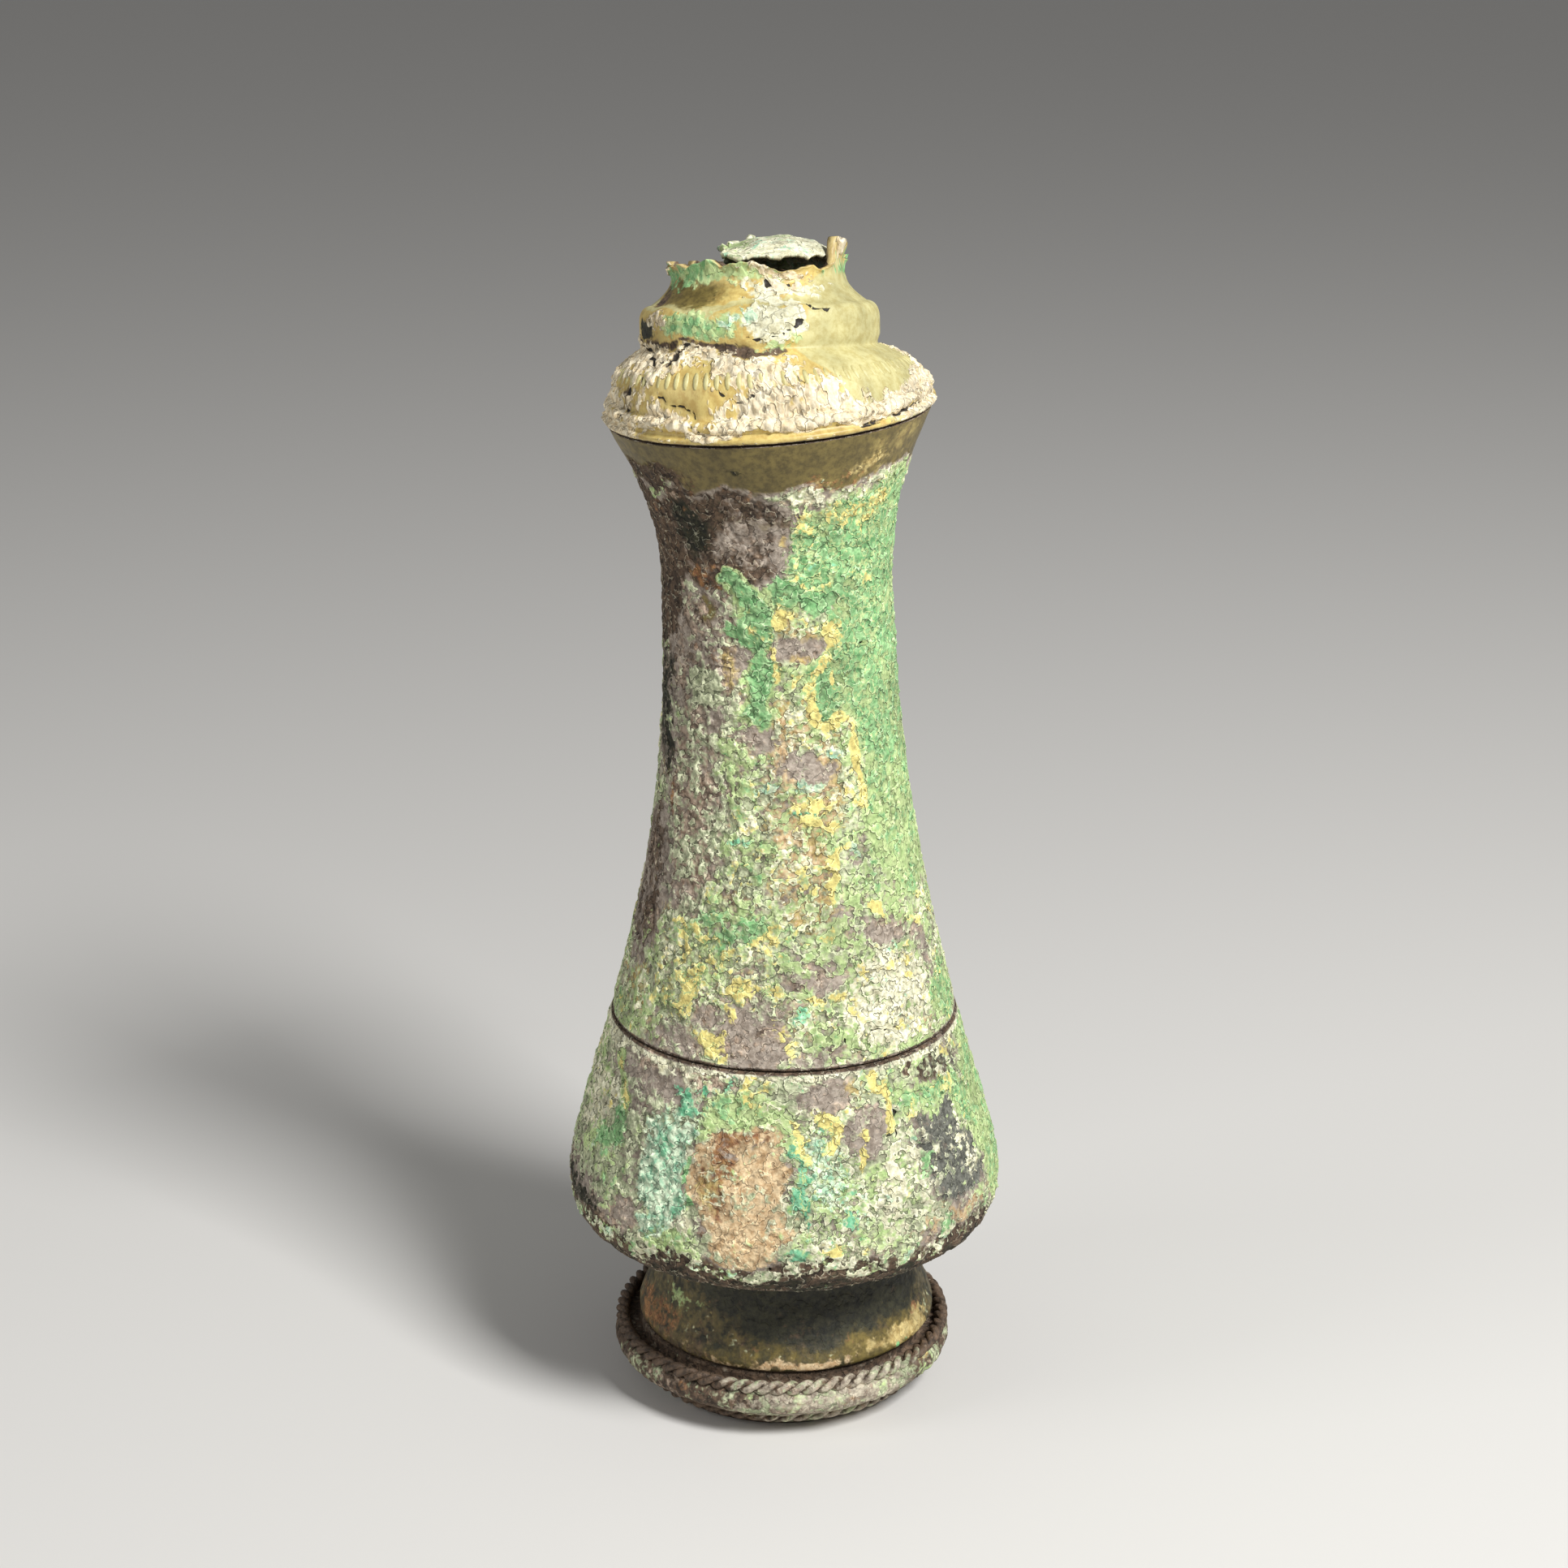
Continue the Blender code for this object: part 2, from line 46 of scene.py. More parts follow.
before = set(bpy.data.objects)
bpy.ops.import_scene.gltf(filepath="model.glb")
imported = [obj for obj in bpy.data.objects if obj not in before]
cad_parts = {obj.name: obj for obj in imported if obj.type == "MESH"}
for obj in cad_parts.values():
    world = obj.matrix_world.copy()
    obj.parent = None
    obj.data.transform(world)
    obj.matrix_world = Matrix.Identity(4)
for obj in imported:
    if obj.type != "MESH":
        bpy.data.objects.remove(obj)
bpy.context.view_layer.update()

MM = 0.001

# Turned forms, as in the solids
RING_HEIGHT, RING_BORE_R, RING_FLOOR_R, RING_SHIFT = 8.9, 15.4, 17.8, 0.3
TORUS_R, TORUS_THICK, TORUS_Z = 21.7, 1.85, 5.8
LEDGE_R, GROOVE_DEPTH = 20.0, 1.6
UPPER_ROPE_R, UPPER_ROPE_THICK, UPPER_ROPE_Z = 22.5, 0.95, 8.1
LOWER_ROPE_R, LOWER_ROPE_THICK, LOWER_ROPE_Z = 19.6, 0.75, 2.1
FOOT_HEIGHT, FOOT_TOP_R, FOOT_WALL, FOOT_SHIFT = 13.0, 17.6, 1.8, 0.3
FOOT_LIP_R, FOOT_LIP_HEIGHT = 20.65, 1.4
BOWL_UNDER, BOWL_UPPER, BOWL_R, BOWL_RIM_R, BOWL_SEAT_R = 8.5, 23.9, 29.7, 23.6, 18.6
BOWL_WALL, BOWL_FLOOR, COLLAR_HEIGHT, COLLAR_WALL, COLLAR_GAP = 2.1, 2.5, 5.6, 1.3, 0.3
COVER_TAPER, COVER_FLARE, COVER_WALL = 60.0, 22.2, 1.6
COVER_MOUTH_R, COVER_NECK_R, COVER_TOP_R = 23.4, 15.0, 20.9
COVER_HEIGHT = COVER_TAPER + COVER_FLARE
LEAN, LEAN_START, CROWN_TILT, SEAT_GAP = 1.8, 20.0, 4.0, 0.3
CROWN_LIP_R, CROWN_LIP_THICK, CROWN_WALL, SKIRT_DEPTH, SKIRT_GAP = 21.4, 0.9, 1.3, 2.4, 0.5
SHOULDER_HEIGHT, SHOULDER_TOP_R, TIER_R, TIER_HEIGHT = 8.0, 14.9, 15.3, 5.4
WAIST_R, WAIST_HEIGHT, STUMP_R, STUMP_HEIGHT = 10.6, 2.2, 11.4, 2.4
BEAD_R, BEAD_Z, BEAD_THICK = 20.2, 2.0, 0.8
SINK, SINK_TOWARDS, SLIDE = 9.5, 75.0, 0.8
PETAL_ROW_R, PETAL_ROW_Z, PETAL_SLOPE, PETAL_COUNT = 18.55, 5.72, 46.6, 84
STUMP_WAIST_Z = SHOULDER_HEIGHT + TIER_HEIGHT + WAIST_HEIGHT
STUMP_TOP_Z = STUMP_WAIST_Z + STUMP_HEIGHT

FOOT_Z = RING_HEIGHT + SEAT_GAP
BOWL_Z = FOOT_Z + FOOT_HEIGHT + SEAT_GAP
BOWL_HEIGHT = BOWL_UNDER + BOWL_UPPER
COVER_Z = BOWL_Z + BOWL_HEIGHT + SEAT_GAP
COVER_TOP_Z = COVER_Z + COVER_HEIGHT

CROWN_THREAD_PITCH = 2.4  # one full turn of the crown bead's two threads
INNER_STEP, LEDGE_STEP = 2.0, 0.6  # mesh steps of walls that nobody sees close by, and of the ring's ledge
ROPE_POINTS, THREAD_POINTS = 14, 9  # mesh points along one turn of a thread, and round a thread
WELD = 0.001  # points closer than this become one

# Camera as fitted to the photograph's outline: metres, degrees from straight down, and millimetres
CAMERA_PLACE, CAMERA_TIP, SENSOR_WIDTH = (0.0, -0.394, 0.2217), 71.08, 36.0
LIT_POINT = (0.0, 0.0, 0.08)  # metres: both lights aim at the container's middle


def to_linear(hex_colour):
    """Linear RGB of an sRGB hex colour."""
    channels = [int(hex_colour[i:i + 2], 16) / 255.0 for i in (1, 3, 5)]
    return tuple(c / 12.92 if c <= 0.04045 else ((c + 0.055) / 1.055) ** 2.4 for c in channels)


def colour_setting(name, hex_colour, description):
    """A colour of the add-on, from an sRGB hex colour."""
    return FloatVectorProperty(
        name=name, description=description, subtype="COLOR", size=3, min=0.0, max=1.0,
        default=to_linear(hex_colour),
    )


# Colours of minerals and metals: name, label, what it is, its lit tone and its tone where it is thick or deep
MINERALS = (
    ("green", "Malachite", "Green copper carbonate crust", "#9FC88D", "#72AA6D"),
    ("leaf", "Leaf green", "Thin yellowish green crust", "#C7D89A", "#A2BD7B"),
    ("sage", "Sage", "Thin grey-green film of carbonate and soil", "#D3D8B2", "#9CA680"),
    ("mint", "Mint", "Pale blue-green knobbly crust", "#DDEBCB", "#84B996"),
    ("teal", "Teal", "Strong blue-green crust", "#8CCBA0", "#58A57A"),
    ("cream", "Cream", "Pale lime and soil crust", "#F0EED0", "#CFCAA6"),
    ("rose", "Pinkish brown", "Granular pinkish brown crust", "#CDB8A2", "#927A66"),
    ("pearl", "Pearl", "Pale pinkish crust on the crown", "#F6EACC", "#DDC79E"),
    ("yellow", "Yellow", "Yellow edges of the green crust", "#F1E590", "#DFCD7C"),
    ("ochre", "Ochre", "Ochre patina", "#D9C486", "#B0965A"),
    ("orange", "Orange brown", "Iron-stained patches", "#AE8052", "#80553A"),
    ("tan", "Tan", "Pale orange-brown crust", "#E2C9A0", "#B8966C"),
    ("mauve", "Mauve grey", "Bare grey cuprite surface", "#BAAD9E", "#8A7C6E"),
    ("umber", "Umber", "Dark brown patina", "#6F5A47", "#3A2E23"),
    # Dark green: darkened partly as painted shade of the bowl's shadow on the foot
    ("moss", "Dark green", "Dark green patina", "#3B3A27", "#191A10"),
    ("charcoal", "Charcoal", "Dark grey patches", "#7F8076", "#52534B"),
    ("olive", "Olive", "Smooth olive patina", "#80703A", "#5C4F26"),
    ("gold", "Gold", "Smooth yellow patina", "#DCC67A", "#C2A45C"),
    ("straw", "Straw", "Smooth pale yellow patina", "#D3CC94", "#BFB377"),
    # Lime dust, and the painted highlight on the tops of the grains
    ("dust", "Dust", "Lime dust on the tops of the grains", "#F2F0D2"),
    ("pit", "Hole", "Holes, cracks and joints full of soil", "#2B251F"),
    ("stone", "Stone", "Worn greyish metal with pale soil", "#CDC3AC", "#87796A"),
)


class LimePatina(bpy.types.PropertyGroup):
    __annotations__ = {
        name + part: colour_setting(label + part.replace("_", " "), tone, what)
        for name, label, what, *tones in MINERALS for part, tone in zip(("", "_shade"), tones)
    }


class LimeForm(bpy.types.PropertyGroup):
    crust: FloatProperty(
        name="Crust", description="Height of the corrosion crust against the real one",
        default=1.0, min=0.0, max=2.0, subtype="FACTOR",
    )
    mesh_step: FloatProperty(
        name="Mesh step", description="Distance between the points of the outer surfaces",
        default=0.00038, min=0.0003, max=0.003, unit="LENGTH",
    )
    thread_pitch: FloatProperty(
        name="Thread pitch", description="Length of one full turn of a rope moulding's two threads",
        default=0.0042, min=0.002, max=0.01, unit="LENGTH",
    )
    seed: IntProperty(
        name="Seed", description="Seed of the patches on the back and of the patches' edges",
        default=7, min=1, max=999,
    )


class LimeStage(bpy.types.PropertyGroup):
    floor: colour_setting("Floor", "#DAD8D4", "Plain pale floor")
    key_power: FloatProperty(
        name="Key light", description="Power of the large soft light",
        default=7.4, min=0.0, unit="POWER",
    )
    focal_length: FloatProperty(
        name="Focal length", description="Camera lens",
        default=71.5, min=20.0, max=200.0, unit="CAMERA",
    )


# Small tools

def add_node(tree, kind, inputs=None, **settings):
    """Adds a node, sets its properties, and gives its inputs values, sockets or nodes' first outputs."""
    made = tree.nodes.new(kind)
    for key, value in settings.items():
        setattr(made, key, value)
    for key, value in (inputs or {}).items():
        if isinstance(value, bpy.types.Node):
            value = value.outputs[0]
        if isinstance(value, bpy.types.NodeSocket):
            tree.links.new(value, made.inputs[key])
        else:
            made.inputs[key].default_value = value
    return made


def bezier(start, handle_1, handle_2, end, step):
    """Points of a Bezier curve about one step apart."""
    ends = [Vector((*pair, 0.0)) for pair in (start, handle_1, handle_2, end)]
    length = sum((b - a).length for a, b in zip(ends, ends[1:]))
    count = max(4, math.ceil(0.95 * length / step))
    return [(p.x, p.y) for p in interpolate_bezier(*ends, count)]


def arc(centre, radius, start, end, step):
    """Points of an arc about one step apart; angles in degrees."""
    count = max(4, math.ceil(radius * math.radians(abs(end - start)) / step))
    angles = [math.radians(start + (end - start) * i / (count - 1)) for i in range(count)]
    return [(centre[0] + radius * math.cos(a), centre[1] + radius * math.sin(a)) for a in angles]


def inset(line, wall):
    """The line moved inwards by a wall's thickness, square to itself."""
    moved = []
    for i, (radius, height) in enumerate(line):
        before = Vector(line[max(i - 1, 0)])
        after = Vector(line[min(i + 1, len(line) - 1)])
        along = (after - before).normalized()
        moved.append((radius + along.y * wall, height - along.x * wall))
    return moved


def radius_at(line, height):
    """The radius at a height of a line that runs downwards."""
    for (r_1, z_1), (r_2, z_2) in zip(line, line[1:]):
        if z_2 <= height <= z_1:
            return r_1 + (r_2 - r_1) * (z_1 - height) / max(z_1 - z_2, 1e-6)
    return line[0][0] if height > line[0][1] else line[-1][0]


def stepped(line, step):
    """The line with points added until none are further apart than a step."""
    points = [line[0]]
    for start, end in zip(line, line[1:]):
        pieces = max(1, math.ceil(math.dist(start, end) / step - 0.01))
        for k in range(1, pieces + 1):
            t = k / pieces
            points.append((start[0] + (end[0] - start[0]) * t, start[1] + (end[1] - start[1]) * t))
    return points


def coated(line, free):
    """Adds how freely crust stands on each point: 0 on faces that meet others, 1 in the open."""
    return [(radius, height, free) for radius, height in line]


def smoothstep(value, low, high):
    """From 0 at low to 1 at high, flat at both ends."""
    t = np.clip((value - low) / (high - low), 0.0, 1.0)
    return t * t * (3.0 - 2.0 * t)


def turned_mesh(name, line, around, closed):
    """Rings of points round Z along a line of (radius, height, freedom)."""
    radius, height, free = (np.array(column)[:, None] for column in zip(*line))
    bearing = np.linspace(0.0, math.tau, around, endpoint=False)[None, :]
    rings = len(line)
    points = np.empty((rings, around, 3))
    points[..., 0] = radius * np.sin(bearing)
    points[..., 1] = -radius * np.cos(bearing)
    points[..., 2] = height
    ring, step = np.meshgrid(np.arange(rings if closed else rings - 1), np.arange(around), indexing="ij")
    after, beside = (ring + 1) % rings, (step + 1) % around
    corners = (ring * around + step, ring * around + beside, after * around + beside, after * around + step)
    faces = np.stack(corners, axis=-1).reshape(-1, 4)
    mesh = bpy.data.meshes.new(name)
    mesh.from_pydata((points.reshape(-1, 3) * MM).tolist(), [], faces.tolist())
    obj = new_object(name, mesh)
    write_values(obj, "free", np.repeat(free[:, 0], around))
    shape = bmesh.new()
    shape.from_mesh(mesh)
    bmesh.ops.remove_doubles(shape, verts=shape.verts, dist=WELD * MM)
    bmesh.ops.recalc_face_normals(shape, faces=shape.faces)
    shape.to_mesh(mesh)
    shape.free()
    return obj


def read_points(obj):
    """The mesh's points in millimetres."""
    flat = np.empty(len(obj.data.vertices) * 3, np.float32)
    obj.data.vertices.foreach_get("co", flat)
    return flat.reshape(-1, 3).astype(float) / MM


def write_points(obj, points):
    """Moves the mesh to points given in millimetres."""
    obj.data.vertices.foreach_set("co", (points * MM).astype(np.float32).ravel())
    obj.data.update()


def read_values(obj, name):
    """A point attribute's values, or None where the mesh hasn't got it."""
    if name not in obj.data.attributes:
        return None
    values = np.empty(len(obj.data.vertices), np.float32)
    obj.data.attributes[name].data.foreach_get("value", values)
    return values


def write_values(obj, name, values):
    """Adds a point attribute."""
    obj.data.attributes.new(name, "FLOAT", "POINT").data.foreach_set("value", values.astype(np.float32))


def keep_rest_place(obj):
    """Stores where each point lies before any bend, for the patterns to hold on to."""
    place = obj.data.attributes.new("rest_place", "FLOAT_VECTOR", "POINT")
    place.data.foreach_set("vector", (read_points(obj) * MM).astype(np.float32).ravel())


def around_count(radius, step):
    """How many points go round a circle, a multiple of four."""
    return 4 * round(math.tau * radius / step / 4)


def flatten(obj):
    """Turns the object into the plain mesh that its modifiers make."""
    bpy.context.view_layer.update()
    graph = bpy.context.evaluated_depsgraph_get()
    mesh = bpy.data.meshes.new_from_object(obj.evaluated_get(graph))
    mesh.name = obj.name
    obj.modifiers.clear()
    obj.data = mesh
    mesh.shade_smooth()


def finish_piece(obj, body, node):
    """Flattens the piece and hands it to the frame."""
    flatten(obj)
    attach(obj, body)
    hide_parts(node)


# Profiles: lines of (radius, height) or (radius, height, freedom), in millimetres. The curves' handles are
# those of the solids, so that the crust starts from the same metal.

def cover_outline(step):
    """The cover's outside, from the top down to the mouth."""
    flare = bezier(
        (COVER_TOP_R, COVER_HEIGHT), (COVER_TOP_R - 2.7, COVER_TAPER + 0.74 * COVER_FLARE),
        (COVER_NECK_R, COVER_TAPER + 0.5 * COVER_FLARE), (COVER_NECK_R, COVER_TAPER), step,
    )
    taper = bezier(
        (COVER_NECK_R, COVER_TAPER), (COVER_NECK_R, 0.63 * COVER_TAPER),
        (COVER_MOUTH_R - 5.4, 0.33 * COVER_TAPER), (COVER_MOUTH_R, 0.0), step,
    )
    return flare + taper[1:]


def socket_radius():
    """Radius of the cover's straight bore for the collar."""
    return radius_at(inset(cover_outline(1.0), COVER_WALL), COLLAR_HEIGHT + COLLAR_GAP)


def edge_free(line, margin):
    """Crust thins out over a margin at both ends of the line, so that its edges stay crisp."""
    top, bottom = line[0][1], line[-1][1]
    return [(r, z, float(smoothstep(min(top - z, z - bottom), 0.0, margin))) for r, z in line]


def cover_line(step):
    """The cover, from its top down the outside and up the inside."""
    outer = cover_outline(step)
    socket_r, socket_z = socket_radius(), COLLAR_HEIGHT + COLLAR_GAP
    inner = [p for p in inset(cover_outline(INNER_STEP), COVER_WALL) if socket_z < p[1] < COVER_HEIGHT - 0.5]
    rest = [(COVER_MOUTH_R - 0.2, 0.0), (socket_r, 0.0), (socket_r, socket_z)] + list(reversed(inner))
    return edge_free(outer, 1.8) + coated(rest + [(COVER_TOP_R - COVER_WALL, COVER_HEIGHT)], 0.0)


def bowl_line(step):
    """The bowl, from its floor up the inside, over the collar and down the outside."""
    side = bezier(
        (BOWL_RIM_R, BOWL_HEIGHT - 0.1), (BOWL_RIM_R + 1.8, BOWL_HEIGHT - 0.33 * BOWL_UPPER),
        (BOWL_R, BOWL_UNDER + 0.19 * BOWL_UPPER), (BOWL_R, BOWL_UNDER), step,
    )
    under = bezier(
        (BOWL_R, BOWL_UNDER), (BOWL_R, 0.43 * BOWL_UNDER),
        (BOWL_R - 1.8, 0.23 * BOWL_UNDER), (BOWL_SEAT_R, 0.0), step,
    )
    outer = side + under[1:]
    collar_r = socket_radius() - COLLAR_GAP
    bore_r, throat_z = collar_r - COLLAR_WALL, BOWL_HEIGHT - BOWL_WALL
    wall = [p for p in inset(outer[::4], BOWL_WALL) if BOWL_FLOOR + 0.3 < p[1] < throat_z - 2.0]
    inside = [(0.0, BOWL_FLOOR), (BOWL_SEAT_R, BOWL_FLOOR)] + list(reversed(wall))
    top = BOWL_HEIGHT + COLLAR_HEIGHT
    inside += [(bore_r, throat_z), (bore_r, top - 0.2), (bore_r + 0.2, top), (collar_r - 0.2, top)]
    inside += [(collar_r, top - 0.2), (collar_r, BOWL_HEIGHT), (BOWL_RIM_R - 0.15, BOWL_HEIGHT)]
    return coated(inside, 0.0) + edge_free(outer, 1.6) + [(0.0, 0.0, 0.0)]


def foot_line(step):
    """The foot, from its top down the outside and up the inside."""
    heel_r = FOOT_LIP_R - 0.3 * FOOT_LIP_HEIGHT
    side = bezier(
        (FOOT_TOP_R, FOOT_HEIGHT), (FOOT_TOP_R, 0.65 * FOOT_HEIGHT),
        (FOOT_LIP_R - 1.2, 0.38 * FOOT_HEIGHT), (FOOT_LIP_R, FOOT_LIP_HEIGHT), step,
    )
    side += stepped([side[-1], (FOOT_LIP_R, 0.4 * FOOT_LIP_HEIGHT), (heel_r, 0.0)], step)[1:]
    inner = [p for p in inset(side[::4], FOOT_WALL) if FOOT_LIP_HEIGHT < p[1] < FOOT_HEIGHT]
    rest = [(heel_r - FOOT_WALL, 0.0)] + list(reversed(inner)) + [(FOOT_TOP_R - FOOT_WALL, FOOT_HEIGHT)]
    return edge_free(side, 0.6) + coated(rest, 0.0)


def ring_line(step):
    """The base ring without its ropes, from the ledge down the outside and up the bore."""
    groove_z = RING_HEIGHT - GROOVE_DEPTH
    groove_r = UPPER_ROPE_R - 0.5 * UPPER_ROPE_THICK
    ledge = [(RING_BORE_R, RING_HEIGHT), (LEDGE_R, RING_HEIGHT), (LEDGE_R, groove_z), (groove_r, groove_z)]
    side = arc((TORUS_R, TORUS_Z), TORUS_THICK, 62, -72, step)
    side += stepped([side[-1], (LOWER_ROPE_R, LOWER_ROPE_Z), (RING_FLOOR_R, 0.0)], step)[1:]
    free = [(r, z, float(smoothstep(z, 0.0, 0.8))) for r, z in side]
    bore = [(RING_BORE_R, 0.0), (RING_BORE_R, 0.5 * RING_HEIGHT)]
    return coated(stepped(ledge, LEDGE_STEP), 0.0) + free + coated(bore, 0.0)


def crown_line(step):
    """The crown in its own upright shape, from the stump's torn edge down the outside and up inside."""
    tier_top = SHOULDER_HEIGHT + TIER_HEIGHT
    skirt_r = radius_at(inset(cover_outline(1.0), COVER_WALL), COVER_HEIGHT - SKIRT_DEPTH) - SKIRT_GAP
    bore = WAIST_R - CROWN_WALL
    outside = bezier(
        (STUMP_R, STUMP_TOP_Z), (WAIST_R, STUMP_TOP_Z - 0.3 * STUMP_HEIGHT),
        (WAIST_R, STUMP_WAIST_Z), (TIER_R - 1.6, tier_top), step,
    )
    outside += bezier(
        (TIER_R - 1.6, tier_top), (TIER_R - 0.4, tier_top - 0.1),
        (TIER_R + 0.05, tier_top - 1.1), (TIER_R, tier_top - 2.4), step,
    )[1:]
    outside += stepped([(TIER_R, tier_top - 2.4), (TIER_R, SHOULDER_HEIGHT + 1.2)], step)[1:]
    outside += bezier(
        (TIER_R, SHOULDER_HEIGHT + 1.2), (TIER_R - 0.2, SHOULDER_HEIGHT + 0.4),
        (SHOULDER_TOP_R - 0.2, SHOULDER_HEIGHT + 0.1), (SHOULDER_TOP_R + 0.5, SHOULDER_HEIGHT - 0.2), step,
    )[1:]
    outside += bezier(
        (SHOULDER_TOP_R + 0.5, SHOULDER_HEIGHT - 0.2), (SHOULDER_TOP_R + 3.6, 0.8 * SHOULDER_HEIGHT),
        (BEAD_R - 0.2, 0.6 * SHOULDER_HEIGHT), (BEAD_R - 0.2, BEAD_Z + 1.2 * BEAD_THICK), step,
    )[1:]
    outside += arc((BEAD_R, BEAD_Z), BEAD_THICK, 60, -60, step)
    outside += stepped([
        outside[-1], (CROWN_LIP_R - 0.6, CROWN_LIP_THICK), (CROWN_LIP_R, 0.6 * CROWN_LIP_THICK),
        (CROWN_LIP_R - 0.2, 0.0),
    ], step)[1:]
    inside = [
        (skirt_r, 0.0), (skirt_r, -SKIRT_DEPTH), (skirt_r - CROWN_WALL, -SKIRT_DEPTH),
        (skirt_r - CROWN_WALL, CROWN_WALL), (SHOULDER_TOP_R - CROWN_WALL, SHOULDER_HEIGHT - CROWN_WALL),
        (TIER_R - CROWN_WALL - 0.4, tier_top - 1.2 * CROWN_WALL), (bore, STUMP_WAIST_Z - CROWN_WALL),
        (bore, STUMP_WAIST_Z), (STUMP_R - CROWN_WALL, STUMP_TOP_Z),
    ]
    free = [(r, z, float(smoothstep(z, 0.0, 0.5))) for r, z in outside]
    return free + coated(stepped(inside, INNER_STEP), 0.0)


# Bends of the cover and crown, on points in millimetres

def bend_cover(points):
    """Leans the cover's top over and tips its rim."""
    rise = np.clip((points[:, 2] - LEAN_START) / (COVER_HEIGHT - LEAN_START), 0.0, None)
    bent = points.copy()
    bent[:, 0] -= LEAN * rise ** 1.5
    bent[:, 2] += math.tan(math.radians(CROWN_TILT)) * rise ** 2 * points[:, 0]
    return bent


def sink(points):
    """Tips the crown's tiers to one side, where the shoulder gave way."""
    start = BEAD_Z + BEAD_THICK
    rise = np.clip((points[:, 2] - start) / (SHOULDER_HEIGHT - start), 0.0, 1.0)
    slope = math.tan(math.radians(SINK)) * rise
    above = np.clip(points[:, 2] - 0.5 * (start + SHOULDER_HEIGHT), 0.0, None)
    towards = np.array([math.cos(math.radians(SINK_TOWARDS)), math.sin(math.radians(SINK_TOWARDS)), 0.0])
    sunk = points + (slope * above)[:, None] * towards
    sunk[:, 0] -= SLIDE * rise
    sunk[:, 2] -= slope * (points @ towards)
    return sunk


def seat_crown(points):
    """Sets the crown square on the cover's tipped top."""
    tilt = math.radians(CROWN_TILT)
    turn = np.array(Matrix.Rotation(-tilt, 3, "Y"))
    return points @ turn.T + np.array([-LEAN, 0.0, COVER_TOP_Z + SEAT_GAP / math.cos(tilt)])


def bell(bearing, centre, width):
    """1 at one bearing, falling off to both sides; bearings in degrees."""
    away = (bearing - centre + 180.0) % 360.0 - 180.0
    return np.exp(-((away / width) ** 2))


def bearings_of(points):
    """Each point's bearing in degrees."""
    return np.degrees(np.arctan2(points[:, 0], -points[:, 1]))


# Painting: each coat's presence on a piece, from -1 (none) to 1 (solid), is a point attribute.
# A patch or stroke lays one coat at a level, or one of MIXES, which sets every coat.

Patch = namedtuple("Patch", "kind level bearing height wide tall turn feather", defaults=(0.0, 1.4))
Stroke = namedtuple("Stroke", "kind level half_width line feather", defaults=(0.8,))


def marks(*rows):
    """Patches and strokes from rows of a kind and its marks; a mark that holds a line is a stroke."""
    return tuple(
        (Stroke if isinstance(mark[2], tuple) else Patch)(kind, *mark) for kind, *each in rows for mark in each
    )


ABSENT = -1.2  # presence of a coat that a mix doesn't name
ALL_ROUND = 1000.0  # a patch this wide is a line round the casting at one height
SHUT = 0.02  # points less free than this lie in a joint or inside
GROOVE_DARKENING = 0.6  # how much darker the groove between two threads is made
# Edges wander by the first over the second, in millimetres, as the edges of the real patches do
DRIFTS = ((1.7, 5.0), (0.5, 1.3))

